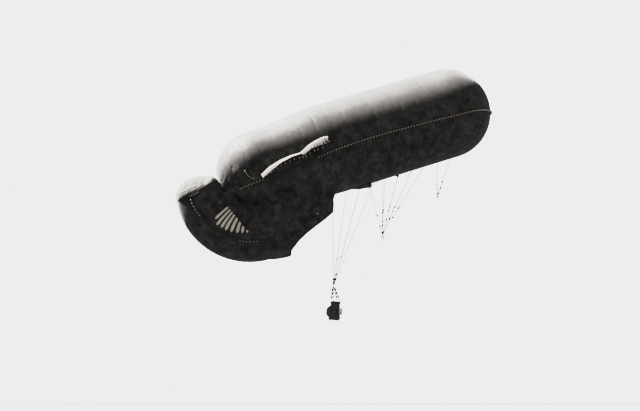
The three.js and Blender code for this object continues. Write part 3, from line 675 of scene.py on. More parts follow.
def pleats(side, name):
    gaps = np.diff(PLEAT_SWEEP, append=PLEAT_SWEEP[-1] + 5.0)
    half = PLEAT_SHARE * (gaps + np.r_[gaps[0], gaps[:-1]]) / 2
    sweep = (PLEAT_SWEEP[:, None] + half[:, None] * PLEAT_ACROSS).ravel()
    edge = np.abs(PLEAT_ACROSS)
    ridge = np.tile((1 - edge**2.4) ** 0.8, len(PLEAT_SWEEP))
    low = np.add.outer(PLEAT_LOW, 5.0 * edge**2.5).ravel()
    high = np.interp(sweep, PLEAT_SWEEP, PLEAT_HIGH)
    share = np.linspace(0, 1, PLEAT_ROWS)[:, None]
    turn = np.radians(low + (high - low) * share)
    sag = 1.4 * np.sin(pi * share) * (0.5 - np.abs(np.arange(len(sweep)) / len(sweep) - 0.4))
    swell = smooth_step(share, 0, 0.16) * (1 - 0.75 * smooth_step(share, 0.93, 1))
    twill = 0.004 * np.sin(share * 46 + sweep * 2.3) * ridge
    points = lobe_point(sweep - sag, side * turn, 0.02 + PLEAT_RISE * ridge * swell + twill)
    faces = grid_faces(PLEAT_ROWS, len(sweep), flip=side < 0)
    # Painted light: the pleats are near-white to stand for the sunlight on them, though they are the bag's
    # own dark cloth
    item = make("pleats_" + name, points, faces, "sail")
    item.data.materials.append(MATERIALS["lobe"])
    # Painted shade: the last face of each pleat, the strip over to the next pleat, takes the bag's dark
    # cloth for the shade between the flutes
    column = np.arange(len(faces)) % (len(sweep) - 1) % len(edge)
    item.data.polygons.foreach_set("material_index", (column == len(edge) - 1).astype(int).tolist())
    thicken(item, 0.004, 1.0)
    band = Parts()
    band.rope(resample(lobe_point(sweep, side * np.radians(high + 0.4), 0.05), 0.06), 0.02, 0.05, 0.1)
    hem = band.make("pleat_cord_" + name, "belt")


def mouth_line(side, out):
    """Along the mouth's rim on one side, from its lip to where it meets the gas bag."""
    z, x = np.array(RIM_Z), np.array(RIM_X)
    path = resample(xyz(x, 0, z), 0.04)
    away = path[:, [0, 2]] - (LOBE_X, LOBE_Z)
    depth, width = lobe_size(np.degrees(np.arctan2(-away[:, 1], -away[:, 0])), out)
    share = (np.hypot(away[:, 0], away[:, 1]) - LOBE_MIDDLE) / depth
    path[:, 1] = side * width * np.sqrt(np.maximum(0, 1 - share**2))
    return path[(share < 1) & (inside_bag(path, 0.0) < 0)]


def mouth_hem():
    """A rope sewn round the steering bag's mouth, and lashed to it."""
    rope, ties = Parts(), Parts()
    path = np.vstack([mouth_line(-1, -0.01)[::-1], mouth_line(1, -0.01)])
    rope.rope(path, 0.022, 0.04, 0.09)
    path = resample(path, 0.14)
    a, b, _ = frames(path)
    for k in range(1, len(path) - 1):
        ties.loop(path[k], 0.027 * a[k], 0.027 * b[k], 9, 0.004, 4)
    rope.make("mouth_rope", "rope")
    ties.make("mouth_lashing", "rope")


# The belt round the gas bag, its toggles, and the belt on the steering bag

BELT_UP = (-0.1, -0.092, -0.08, -0.04, 0.0, 0.04, 0.08, 0.092, 0.1)
BELT_OUT = (0.004, 0.008, 0.004, 0.002, 0.004, 0.002, 0.004, 0.008, 0.004)
LOBE_BELT_ACROSS = (-0.1, -0.09, -0.05, 0.0, 0.05, 0.09, 0.1)
LOBE_BELT_OUT = (-0.002, 0.006, 0.002, 0.0, 0.002, 0.006, -0.002)
TOGGLE_SPACING = 0.218
SAIL_SPAN = (-8.25, -4.2)  # where the belt has no toggles
TAIL_ARC = [(-9.22, -0.08), (-9.19, -0.3), (-9.1, -0.52), (-8.95, -0.7), (-8.77, -0.84)]
CAP_ARC = [52.3, 56, 60, 64, 68, 71.5]
LONE_TOGGLES = [(138.9, 56.8, 0.05, 0.055), (11.2, 102, 0.04, 0.04)]  # sweep, turn, half length, radius


def belt_line(up=0.0, out=0.0, step=0.1):
    """Along the belt from the starboard tail round the nose to the port tail."""
    x = np.arange(BELT_X[0], NOSE_CENTRE, step)
    starboard = bag_side(x, belt_height(x) + up, -1, out)
    port = bag_side(x[::-1], belt_height(x[::-1]) + up, 1, out)
    bearing = np.arange(-pi / 2, pi / 2 + 0.001, step / RADIUS)
    height = BELT_Z[-1] - 0.29 * np.cos(bearing) ** 2 + up
    across = np.sqrt(RADIUS**2 - height**2)
    nose = xyz(across * np.cos(bearing), across * np.sin(bearing), height)
    return np.vstack([starboard, nose * (RADIUS + out) / RADIUS + [NOSE_CENTRE, 0, 0], port])


def strap(lines, name, replaces):
    """A webbing strap through lines side by side, with raised edges."""
    faces = grid_faces(len(lines[0]), len(lines))
    thicken(make(name, np.stack(lines, 1), faces, "belt", replaces=replaces), 0.01, 1.0)


def lobe_belt_line(side, across=0.0, out=0.0, start=0.0, end=95.0, step=1.5):
    sweep = np.arange(start, end, step)
    return lobe_point(sweep, side * (belt_turn(sweep) + across / LOBE_HALF), out)


def belts():
    strap([belt_line(up, out) for up, out in zip(BELT_UP, BELT_OUT)], "belt_webbing", "rope_belt")
    for name, side in SIDES:
        lines = [lobe_belt_line(side, across, out) for across, out in zip(LOBE_BELT_ACROSS, LOBE_BELT_OUT)]
        strap(lines[::-side], "steering_webbing_" + name, "steering_bag_belt_" + name)


def toggle_row(parts, loops, line, skip=(0, 0), radius=0.06):
    """Short round toggles along a line on the skin, each in a loop of tarred cord."""
    path = resample(line, TOGGLE_SPACING)
    a, b, along = frames(path)
    for k in range(1, len(path) - 1):
        if not skip[0] < path[k][0] < skip[1]:
            half = along[k] * 0.05
            parts.spindle(path[k] - half, path[k] + half, radius)
            loops.loop(path[k], 0.085 * a[k], 0.05 * b[k], 10, 0.008, 5)


def belt_toggles():
    parts, loops, ropes = Parts(), Parts(), Parts()
    toggle_row(parts, loops, belt_line(0.0, 0.055, 0.05), skip=SAIL_SPAN)
    for _, side in SIDES:
        toggle_row(parts, loops, lobe_belt_line(side, 0, 0.05, DOT_SWEEP[0], 16, 1))
        toggle_row(parts, loops, lobe_belt_line(side, 0, 0.05, 56, 80, 1), radius=0.04)
        ropes.rope([bag_side(x, z, side, 0.03) for x, z in TAIL_ARC], 0.026, 0.04, 0.1)
        sweeps = np.interp(CAP_ARC, FOLD_TURN, FOLD_SWEEP) + 0.9
        ropes.rope(lobe_point(sweeps, side * np.radians(CAP_ARC), 0.07), 0.03, 0.04, 0.1)
        for sweep, turn, half, radius in LONE_TOGGLES:
            at = lobe_point(sweep, side * radians(turn), 0.04)
            parts.spindle(at - [half, 0, 0], at + [half, 0, 0], radius)
    parts.make("belt_toggles", "white_wood")
    loops.make("belt_toggle_loops", "tarred")
    ropes.make("tail_ropes", "white_rope")


# The side sails: two puffed bays each, gathered to a roped edge

# Each row is x, the heights of the root, the crest and the free edge, and the reach
SAIL_LINES = np.array([
    [-8.35, -0.86, -0.72, -1.02, 0.7],
    [-7.7, -0.54, -0.4, -0.76, 0.95],
    [-6.9, -0.35, -0.19, -0.44, 1.0],
    [-6.1, -0.24, -0.09, -0.29, 1.0],
    [-5.42, -0.21, -0.1, -0.26, 0.85],
    [-5.25, -0.2, -0.04, -0.4, 0.8],
    [-4.7, -0.01, 0.22, -0.15, 1.0],
    [-4.2, 0.11, 0.36, -0.13, 1.0],
    [-3.7, 0.19, 0.42, -0.14, 0.95],
    [-3.4, 0.2, 0.43, 0.02, 0.8],
    [-3.25, 0.24, 0.43, 0.27, 0.6],
])
SAIL_KNOTS = np.array([0, 0.27, 0.52, 0.78, 1.0])
SAIL_ROWS, SAIL_COLUMNS = 300, 24
SAIL_TIES = [
    -8.3, -8.05, -7.76, -7.56, -7.27, -6.96, -6.64, -6.3, -5.97, -5.6, -5.35, -5.14, -4.84, -4.5, -4.26,
    -3.9, -3.54, -3.3,
]


def smooth_through(knots, values, v):
    """A smooth curve through values at knots, read at v, for many lines at once."""
    slopes = np.gradient(values, knots, axis=0)
    k = np.clip(np.searchsorted(knots, v, side="right") - 1, 0, len(knots) - 2)
    span = knots[k + 1] - knots[k]
    t = (v - knots[k]) / span
    a, b, da, db = (
        np.take_along_axis(table, index[None], 0)[0] for table in (values, slopes) for index in (k, k + 1)
    )
    rise = (3 * t**2 - 2 * t**3) * (b - a) + a
    return rise + ((t**3 - 2 * t**2 + t) * da + (t**3 - t**2) * db) * span


def sail_surface(x, v, side):
    """x along the hull and v from the root, 0, to the free edge, 1."""
    root, crest, edge, reach = (np.interp(x, SAIL_LINES[:, 0], SAIL_LINES[:, k]) for k in (1, 2, 3, 4))
    outs = np.stack([0 * x, 0.24 * reach, 0.48 * reach, 0.7 * reach, 0.85 * reach])
    ups = np.stack([root, root + 0.8 * (crest - root), crest, crest + 0.45 * (edge - crest), edge])
    fold = np.sin(2 * pi * x / 0.23 + 1.2 * np.sin(x * 3.1))
    front = bell(x + 3.64, 0.32)
    pull = 0.018 + 0.05 * front + 0.012 * bell(x + 5.3, 0.4)
    grow = np.clip((v - 0.35) / 0.65, 0, 1) ** 1.3
    gap = np.clip(-fold - 0.1, 0, 1) ** 0.6
    out = smooth_through(SAIL_KNOTS, outs, v) + pull * grow * fold
    up = smooth_through(SAIL_KNOTS, ups, v) + (0.5 * pull * fold + 0.34 * front * gap) * grow
    return xyz(x, bag_side(x, root, side)[..., 1] + side * out, up)


def sail(side, name):
    along = np.linspace(SAIL_LINES[0, 0], SAIL_LINES[-1, 0], SAIL_ROWS)
    x, v = np.meshgrid(along, np.linspace(0, 1, SAIL_COLUMNS), indexing="ij")
    points = sail_surface(x, v, side)
    faces = grid_faces(*x.shape, flip=side < 0)
    item = make("sail_cloth_" + name, points, faces, "sailcloth", replaces="side_sail_" + name)
    thicken(item, 0.004, 0.0)
    ropes, knobs = Parts(), Parts()
    for line, radius in ((points[:, -1], 0.014), (points[0], 0.012), (points[-1], 0.012)):
        ropes.rope(line, radius, 0.04)
    for at in SAIL_TIES:
        edge = sail_surface(np.array([at]), np.array([1.0]), side)[0]
        low = bag_side(np.array([at + 0.12]), belt_height(at) + 0.09, side, 0.02)[0]
        ropes.rope([edge, low], 0.006, 0.08, 0.05)
        middle, step = edge + (low - edge) * 0.3, unit(low - edge) * 0.05
        knobs.spindle(middle - step, middle + step, 0.052, 8)
    hem = ropes.make("sail_ropes_" + name, "rope")
    knobs.make("sail_toggles_" + name, "white_wood")


# Stays and the basket's legs: laid ropes with toggles, as the model has them

LINK, HEAD = 0.19, 0.086
BASKET_PIN, TETHER_PIN, NOSE_KNOT = (-1.99, 0, -10.45), (1.58, 0, -6.8), (5.68, 0, -3.98)
# Where each stay leaves the gas bag, and how far up it the toggles are
BASKET_STAYS = [(-1.9, [0.2]), (-0.5, [0.56, 1.8]), (0.9, [0.2])]
TETHER_STAYS = [(0.4, [0.48, 1.44]), (2.2, [0.91, 1.9]), (3.7, [1.1, 1.95]), (5.1, [1.2, 1.98])]
NOSE_STAY = (6.15, [0.23, 0.64, 1.1])
ROPE_RADIUS, THREAD_RADIUS = 0.011, 0.006
FORK_LENGTH, FOOT_SPREAD, BRIDLE_SPREAD = 1.15, 0.42, 0.26
STAND_OFF = 0.028
TOGGLE_LENGTH, TOGGLE_RADIUS = 0.15, 0.042


def on_skin(x, below, side, out):
    r = bag_radius(x) + out
    return to_part(np.array([x, side * r * sin(below), -r * cos(below)]))


def skin_angle(x, lift):
    """The angle from the bottom to a place that far over the belt."""
    return np.arccos(-(belt_height(x) - lift) / bag_radius(x))


def rope_toggle(parts, start, towards, distance):
    way = unit(towards - start)
    parts.spindle(start + way * distance, start + way * (distance + TOGGLE_LENGTH), TOGGLE_RADIUS)


def splice(parts, start, way, length, widths):
    """A rope's end, thicker where it is tucked into itself."""
    parts.tube(start + way * np.linspace(0.0, length, len(widths))[:, None], widths, 9, laid(0.05))


def stay(name, low, x, toggles, side):
    low = np.array(low)
    across = hypot(low[1], -low[0] * sin(PITCH) + low[2] * cos(PITCH))
    leave = np.arccos((bag_radius(x) + STAND_OFF) / across) - radians(2)
    top = on_skin(x, leave, side, STAND_OFF)
    fork = top + unit(low - top) * FORK_LENGTH
    ropes, knobs = Parts(np.asarray), Parts(np.asarray)
    ropes.rope([low, fork], ROPE_RADIUS)
    for foot in (x - FOOT_SPREAD, x + FOOT_SPREAD):
        angles = np.linspace(skin_angle(foot, 0.07), leave, 16)
        path = [on_skin(foot, angle, side, 0.024 if k else 0.02) for k, angle in enumerate(angles)]
        ropes.rope([*path, fork], ROPE_RADIUS)
        for lean in (-BRIDLE_SPREAD, BRIDLE_SPREAD):
            high = skin_angle(foot + lean, 0.06)
            bridle = [
                on_skin(foot + lean * (1 - s), high + (angles[4] - high) * s, side, 0.022)
                for s in np.linspace(0, 1, 7)[:-1]
            ]
            ropes.rope([*bridle, path[4]], THREAD_RADIUS, 0.06, 0.05)
    widths = np.interp(np.linspace(0, 1, 12), [0, 0.2, 1], [0.021, 0.02, 0.0115])
    splice(ropes, low, unit(fork - low), 0.17, widths)
    rope_toggle(knobs, fork, low, -0.03)
    for distance in toggles:
        rope_toggle(knobs, low, fork, distance)
    ropes.make("stay_" + name, "rope", replaces=name.replace("_", "_stay_", 1))
    knobs.make("toggles_" + name, "wood")


def stays():
    groups = ((BASKET_PIN, "basket", BASKET_STAYS, 1.75), (TETHER_PIN, "tether", TETHER_STAYS, 2.2))
    for name, side in SIDES:
        for pin, kind, rows, first in groups:
            for i, row in enumerate(rows):
                bearing = side * (first - 0.5 * i)
                low = (pin[0] + 0.062 * cos(bearing), 0.062 * sin(bearing), pin[2] + HEAD + GAP)
                stay(f"{kind}_{name}_{i + 1}", low, *row, side)
        stay("nose_" + name, (NOSE_KNOT[0], side * 0.03, NOSE_KNOT[2] + GAP), *NOSE_STAY, side)


# The basket, in its own frame

HANG_AT, LEAN = (-1.92, 0, -12.35), radians(5.2)
BASKET_TOP, CORNER, RIM_GROW = 0.5625, 0.12, 0.005
FRONT_SIZE, SIDE_SIZE = (0.68, -0.18), (0.92, -0.16)  # at the bottom, and what the top adds
RIM_MIDDLE = BASKET_TOP + 0.0505
STAKES, ROWS, WALES = 56, 50, (0, 1, 16, 17, 33, 34, 49)
LINING_ROWS, LINING_COLUMNS, RIM_STEPS, RIM_SIDES = 14, 96, 240, 14
CANE_DEPTH, FLOOR_PITCH, ROW_PITCH, ROW_SWING = 0.0135, 0.0225, 0.0222, 0.0085
RIM_HALF, LACES, LACE_HALF = (0.0445, 0.0495), 60, (0.046, 0.051)
UP = np.array([0, 0, 1.0])


def to_hung(p):
    """From the basket's frame, which leans."""
    return tilted(p, -LEAN, HANG_AT)


HUNG = (to_hung, "basket_body")


def wall_at(z, bottom, grow):
    """Half the basket's size across at a height."""
    return (bottom + grow * (z + BASKET_TOP) / (2 * BASKET_TOP)) / 2


def front_wall(z):
    return wall_at(z, *FRONT_SIZE)


def side_wall(z):
    return wall_at(z, *SIDE_SIZE)


def basket_ring(z, grow, share):
    """Round the basket's outside at a height, at shares of the way round."""
    corner = CORNER + grow
    x, y = front_wall(z) - CORNER, side_wall(z) - CORNER
    points = []
    for sx, sy, start in ((1, 1, 0), (-1, 1, 0.5), (-1, -1, 1), (1, -1, 1.5)):
        for angle in np.linspace(start * pi, (start + 0.5) * pi, 9):
            points.append((sx * x + corner * cos(angle), sy * y + corner * sin(angle)))
    points = np.array(points + points[:1])
    lengths = distances(points)
    at = (np.asarray(share) % 1.0) * lengths[-1]
    return xyz(*(np.interp(at, lengths, column) for column in points.T), z)


def rim_line(share):
    """The middle of the rim's leather."""
    return basket_ring(BASKET_TOP, RIM_GROW, share) * [1, 1, 0] + RIM_MIDDLE * UP


def outward(share):
    way = basket_ring(0, 0.02, share) - basket_ring(0, 0, share)
    return way / np.maximum(np.linalg.norm(way, axis=1)[:, None], 1e-9)


def wicker():
    weave, canes, lining = Parts(*HUNG), Parts(*HUNG), Parts(*HUNG)
    share = np.arange(STAKES * 4) / (STAKES * 4)
    for row in range(ROWS):
        wale = row in WALES
        swing = np.cos(pi * share * STAKES + (row % 2) * pi) * ROW_SWING
        path = basket_ring(-BASKET_TOP + 0.012 + row * ROW_PITCH, -CANE_DEPTH + wale * 0.003, share)
        path += outward(share) * swing[:, None]
        path[:, 2] += rng.normal(0, 0.0006)
        weave.tube(path, 0.0105 + wale * 0.0015 + rng.uniform(-0.0006, 0.0006), 5, closed=True)
    for k in range(STAKES):
        heights = np.linspace(-BASKET_TOP + 0.01, BASKET_TOP, 6)
        canes.tube([basket_ring(z, -CANE_DEPTH, k / STAKES) for z in heights], 0.0062, 6)
    half_x, half_y = front_wall(-BASKET_TOP), side_wall(-BASKET_TOP)
    for y in np.arange(-half_y + 0.02, half_y, FLOOR_PITCH):
        inset = max(0.0, abs(y) - (half_y - CORNER))
        reach = half_x - CORNER + sqrt(max(0.0, CORNER**2 - inset**2)) - 0.012
        x = np.linspace(-reach, reach, 25)
        z = -BASKET_TOP + 0.012 + 0.004 * np.cos(x * 70 + (round(y / FLOOR_PITCH) % 2) * pi)
        canes.tube(xyz(x, y, z), 0.0108, 6)
    weave.make("wicker_weave", "wicker", replaces="basket")
    canes.make("wicker_stakes", "wicker_dark")
    n = LINING_COLUMNS
    heights = np.linspace(-BASKET_TOP + 0.03, BASKET_TOP, LINING_ROWS)
    walls = np.array([basket_ring(z, -0.0245, np.arange(n) / n) for z in heights])
    lining.add(walls, grid_faces(LINING_ROWS, n, wrap=True, flip=True))
    lining.add(np.vstack([walls[0], heights[0] * UP]), [(j, (j + 1) % n, n) for j in range(n)])
    thicken(lining.make("basket_lining", "canvas"), 0.003, 1.0)


def rim():
    share = np.arange(RIM_STEPS) / RIM_STEPS
    centre, away = rim_line(share), outward(share)
    bearing = circle(RIM_SIDES)
    puff = 1 - 0.05 * np.abs(np.sin(share * 30 * pi))[:, None] ** 8
    ring = away[:, None] * (np.cos(bearing) * RIM_HALF[0] * puff)[..., None]
    ring = ring + UP * (np.sin(bearing) * RIM_HALF[1] * puff)[..., None]
    faces = grid_faces(RIM_STEPS, RIM_SIDES, wrap=True, close=True)
    item = make("rim_leather", centre[:, None] + ring, faces, "leather", *HUNG, replaces="basket_rim")
    thong = Parts(*HUNG)
    for k in range(LACES):
        at = np.array([(k + 0.5) / LACES])
        lean = unit(np.gradient(centre, axis=0)[int(at[0] * RIM_STEPS) % RIM_STEPS]) * 0.008
        across, tall = LACE_HALF[0] * outward(at)[0], LACE_HALF[1] * UP + lean
        thong.loop(rim_line(at)[0], across, tall, 12, 0.0032, 5)
    thong.make("rim_lacing", "belt", slot="leather")


def basket_legs():
    crown_under = BASKET_PIN[2] - LINK - HEAD
    share = np.arange(720) / 720
    ring = rim_line(share)
    for end, sx in (("front", 1), ("rear", -1)):
        for name, sy in reversed(SIDES):
            x, y = sx * (front_wall(BASKET_TOP) + 0.015), sy * (side_wall(BASKET_TOP) - 0.03)
            top = np.array([BASKET_PIN[0] + sx * 0.06, sy * 0.06, crown_under - GAP])
            foot = to_hung([x, y, BASKET_TOP + 0.0803])
            ropes, knobs = Parts(np.asarray, HUNG[1]), Parts(np.asarray, HUNG[1])
            ropes.rope([top, foot + (top - foot) * 0.022], ROPE_RADIUS, 0.022, 0.09)
            splice(ropes, top, unit(foot - top), 0.06, np.linspace(0.02, 0.0115, 8))
            at = share[np.argmin(np.hypot(ring[:, 0] - x, ring[:, 1] - y))]
            for k in range(4):
                here = np.array([at + (k - 1.5) * 0.0085])
                loop = loop_points(rim_line(here)[0], outward(here)[0] * 0.053, 0.058 * UP, 16)
                ropes.tube(to_hung(loop), 0.0085, 7, closed=True)
            for distance in (0.06, 0.33, 0.6):
                rope_toggle(knobs, top + (0.02 + GAP) * UP, foot, distance)
            ropes.make(f"leg_{end}_{name}", "rope", replaces=f"basket_leg_{end}_{name}")
            knobs.make(f"leg_toggles_{end}_{name}", "wood")


# What hangs on the basket: ballast bags, the canvas pack and the coil of line

BAG_RADIUS, BAG_HEIGHT, BAG_NECK, BAG_SIDES = 0.105, 0.3, BASKET_TOP - 0.48, 40
BAG_LEVEL = np.array([
    -0.8, -0.785, -0.74, -0.66, -0.56, -0.45, -0.34, -0.24, -0.15, -0.08, -0.03, 0, 0.04, 0.09, 0.15, 0.19,
])
BAG_WIDTH = np.array([
    0.3, 0.6, 0.8, 0.92, 0.985, 1, 0.985, 0.93, 0.82, 0.64, 0.44, 0.3, 0.27, 0.36, 0.45, 0.42,
])
RAIL_OUT, RAIL_Z = side_wall(BASKET_TOP) + 0.014, BASKET_TOP - 0.0093
PACK_BELOW = [0.983, 0.98, 0.965, 0.9, 0.76, 0.6, 0.44, 0.37, 0.3, 0.22, 0.175]
PACK_DEPTH = [0.02, 0.06, 0.1, 0.168, 0.272, 0.286, 0.282, 0.25, 0.2, 0.1, 0.05]
PACK_WIDTH = [0.12, 0.15, 0.175, 0.213, 0.248, 0.25, 0.249, 0.235, 0.215, 0.168, 0.14]
PACK_POINTS = 61
STRAP_ACROSS, STRAP_HALF = (-0.02, -0.017, 0.017, 0.02), 0.02
LINE_RADIUS, LINE_TURNS, COIL_HALF, COIL_TALL = 0.0105, 7, 0.15, 1.35


def sandbag(parts, cords, x, side):
    """A canvas bag of sand, gathered at its neck, on a cord from the rope under the rim."""
    out = side * (side_wall(BAG_NECK - 0.4 * BAG_HEIGHT) + BAG_RADIUS + 0.0063)
    bearing = circle(BAG_SIDES)
    level = BAG_LEVEL[:, None]
    gather = np.interp(level, [-0.5, -0.2, 0, 0.19], [0.0, 0.035, 0.1, 0.16])
    ruck = gather * np.sin(bearing * 9 + side) + 0.012 * np.sin(bearing * 3 + 7 * level + x * 9)
    r = BAG_RADIUS * BAG_WIDTH[:, None] * (1 + ruck) * 0.985
    height = BAG_NECK + level * BAG_HEIGHT
    top = (len(level) - 1) * BAG_SIDES
    faces = grid_faces(len(level), BAG_SIDES, wrap=True)
    faces += [tuple(reversed(range(BAG_SIDES))), tuple(range(top, top + BAG_SIDES))]
    parts.add(xyz(x + r * np.cos(bearing), out + r * np.sin(bearing), height), faces)
    for rise in (0.002, 0.011):
        cords.flat_loop([x, out, BAG_NECK + rise], 0.033, 12, 0.0052, 6)
    cords.rope([[x, out, BAG_NECK + 0.05], [x, side * RAIL_OUT, RAIL_Z - 0.008]], 0.0055, 0.02, 0.05)


def ballast():
    for name, side in SIDES:
        bags, cords = Parts(*HUNG), Parts(*HUNG)
        for x in (-0.145, 0.145):
            sandbag(bags, cords, x, side)
        cords.rope([[x, side * RAIL_OUT, RAIL_Z] for x in (-0.185, 0.185)], 0.0085, 0.02, 0.06)
        for x in (-0.165, -0.06, 0.06, 0.165):
            cords.loop([x, side * RAIL_OUT, RAIL_Z], (0, 0.012, 0), (0, 0, 0.012), 12, 0.003, 5)
        sack = bags.make("sandbags_" + name, "canvas", replaces="ballast_" + name)
        cords.make("sandbag_cords_" + name, "rope")


def side_pack():
    n = PACK_POINTS
    below = np.interp(np.linspace(0, 10, n), range(11), PACK_BELOW)
    depth, width = (np.interp(-below, -np.array(PACK_BELOW), table) for table in (PACK_DEPTH, PACK_WIDTH))
    turn = np.linspace(0, pi, n)
    z = BASKET_TOP - below
    wall = -front_wall(z)[:, None] - GAP
    crease = 0.02 * np.sin(turn * 11 + 9 * below[:, None]) * np.sin(below * 21)[:, None]
    slack = 1 - 0.02 + crease * 0.5 - 0.03 * bell(below[:, None] - 0.44, 0.012)
    x, y = wall - depth[:, None] * slack * np.sin(turn), width[:, None] * slack * np.cos(turn)
    bag, straps = Parts(*HUNG), Parts(*HUNG)
    bag.add(xyz(x, y, z[:, None]), grid_faces(n, n))
    last = (n - 1) * n
    bag.faces += [tuple(range(n)), tuple(range(last + n - 1, last - 1, -1))]
    bag.faces += [(k, k + n, k + 2 * n - 1, k + n - 1) for k in range(0, last, n)]
    heights = np.linspace(BASKET_TOP - 0.22, BASKET_TOP - 0.0004, 8)
    for middle in (-0.08, 0.08):
        up, over = [], []
        for across in STRAP_ACROSS:
            at, raised = middle + across, abs(across) < STRAP_HALF
            up.append([[-front_wall(h) - GAP - 0.004 - raised * 0.0035, at, h] for h in heights])
            column = np.argmin(np.abs(y[30] - at))
            over.append([[x[k, column] - 0.003 - raised * 0.003, at, z[k]] for k in range(6, n, 3)])
        for lines in (up, over):
            straps.add(np.stack(lines, 1), grid_faces(len(lines[0]), len(lines)))
        buckle = np.array([x[34, np.argmin(np.abs(y[34] - middle))] - 0.008, middle, z[34]])
        corners = [buckle + [0, a * 0.027, b * 0.022] for a, b in ((-1, -1), (1, -1), (1, 1), (-1, 1))]
        straps.tube(corners, 0.003, 6, closed=True)
    sack = bag.make("pack_canvas", "canvas", replaces="side_pack")
    thicken(straps.make("pack_straps", "leather"), 0.003, 0.0)


def lay_offset(turn):
    """How far a turn of the coil lies from its middle line."""
    return 0.020 * np.stack([np.cos(turn * 2.4 + 0.3), np.sin(turn * 2.4 + 0.3)], -1)


def rope_coil():
    """Turns of spare line hung on the peg, tied round with a hitch."""
    height = BASKET_TOP - 0.385
    drop = COIL_HALF * COIL_TALL
    centre = np.array([front_wall(height) + 0.2, 0.12, height + 0.018 + GAP - 0.114 * COIL_TALL])
    t = np.linspace(0, LINE_TURNS * 2 * pi, LINE_TURNS * 60)
    lay = np.floor(t / (2 * pi))
    offset, later = lay_offset(lay) * (lay > 0)[:, None], lay_offset(lay + 1)
    later[lay + 1 > LINE_TURNS - 1] = offset[-1]
    blend = ((t / (2 * pi) - lay) ** 4)[:, None]
    offset = offset * (1 - blend) + later * blend
    across, tall = (COIL_HALF + offset[:, 0]) * np.sin(t), (drop + offset[:, 0] * 1.2) * np.cos(t)
    path = centre + xyz(offset[:, 1], across, tall)
    line, hitch = Parts(*HUNG), Parts(*HUNG)
    line.rope(path, LINE_RADIUS, 0.012, 0.05)
    for k in range(5):
        below = 0.10 + k * 0.016
        span = COIL_HALF * sqrt(max(0.0, 1 - (below / drop) ** 2))
        hitch.flat_loop(centre - [0, span, below], 0.034, 16, 0.0065, 7)
    tie = hitch.make("spare_line_hitch", "rope")
    spare = line.make("spare_line", "rope", replaces="rope_coil")
    route = to_hung(path)


# The air scoop and the filling neck

SCOOP_MOUTH, SCOOP_END = -0.43, -2.0
SCOOP_X = [-SCOOP_MOUTH, 1.215, -SCOOP_END]
SCOOP_DEPTH = [0.53, 0.41, 0.17]
SCOOP_WIDTH = [0.62, 0.5704, 0.372]
SCOOP_ROWS, SCOOP_COLUMNS = 40, 96
SCOOP_BOTTOM = SCOOP_COLUMNS // 4  # the column at the bottom
NECK_SIDES = 64
NECK_X = 1.75
NECK_LEVEL, NECK_WIDTH = np.array([
    (0.06, 0.1375), (0.02, 0.12), (-0.02, 0.112), (-0.05, 0.1), (-0.075, 0.082), (-0.095, 0.066),
    (-0.11, 0.05), (-0.122, 0.036), (-0.13, 0.031), (-0.14, 0.042), (-0.155, 0.058), (-0.168, 0.064),
]).T


def air_scoop():
    """A flattened cloth funnel under the belly, its mouth hemmed over a cord."""
    turn = circle(SCOOP_COLUMNS)
    x = np.linspace(SCOOP_MOUTH, SCOOP_END, SCOOP_ROWS)[:, None]
    depth, width = (np.interp(-x, SCOOP_X, table) - 0.004 for table in (SCOOP_DEPTH, SCOOP_WIDTH))
    ruck = 0.012 * np.sin(6 * turn + 2 * x) * np.clip((x - SCOOP_END) / 0.6, 0, 1) * np.sin(2.2 * x)
    sag = 1 - 0.05 * bell(x + 0.8, 0.3) * np.abs(np.sin(turn)) ** 3
    y = (width + ruck) * np.cos(turn)
    z = -RADIUS + 0.23 - depth * np.sin(turn) * sag
    points = xyz(x, y, z)
    hidden = (np.hypot(y, z) < RADIUS - 0.06).ravel()
    faces = grid_faces(SCOOP_ROWS, SCOOP_COLUMNS, wrap=True)
    faces = [face for face in faces if not all(hidden[k] for k in face)]
    item = make("scoop_cloth", points, faces, "lobe", replaces="air_scoop")
    thicken(item, 0.004, 0.0)
    ropes = Parts()
    mouth = points[0]
    ropes.rope(mouth[np.hypot(mouth[:, 1], mouth[:, 2]) > RADIUS - 0.02] - [0.008, 0, 0], 0.013, 0.03, 0.06)
    for j in (SCOOP_BOTTOM, SCOOP_BOTTOM - 10, SCOOP_BOTTOM + 10):
        y = mouth[j, 1] * 1.1
        high = [0.35, y, -sqrt(RADIUS**2 - y**2) - 0.01]
        ropes.rope([mouth[j] - [0.01, 0, 0], high], THREAD_RADIUS, 0.06, 0.05)
    hem = ropes.make("scoop_ropes", "rope")


def filling_neck():
    """The sleeve that the gas comes in by, gathered and tied off."""
    bearing = circle(NECK_SIDES)
    level = NECK_LEVEL[:, None]
    gather = np.interp(-level, [0, 0.1, 0.13, 0.17], [0.02, 0.12, 0.16, 0.22])
    r = NECK_WIDTH[:, None] * (1 + gather * 0.6 * np.sin(bearing * 13)) * 0.96
    points = xyz(NECK_X + r * np.cos(bearing), r * np.sin(bearing), level - RADIUS)
    faces = grid_faces(len(level), NECK_SIDES, wrap=True, flip=True)
    thicken(make("neck_cloth", points, faces, "lobe", replaces="filling_neck", slot="belt"), 0.003, 0.0)
    cords = Parts()
    for k in range(4):
        cords.flat_loop([NECK_X, 0, -RADIUS - 0.116 - k * 0.0075], 0.036, 16, 0.0042, 6)
    tail = [[1.786, 0, -RADIUS - 0.13], [1.81, 0.02, -RADIUS - 0.15], [1.80, 0.03, -RADIUS - 0.165]]
    cords.rope(tail, 0.004, 0.008, 0.03)
    cords.make("neck_tie", "rope")


# The ground, and what the plain CAD fittings are finished with


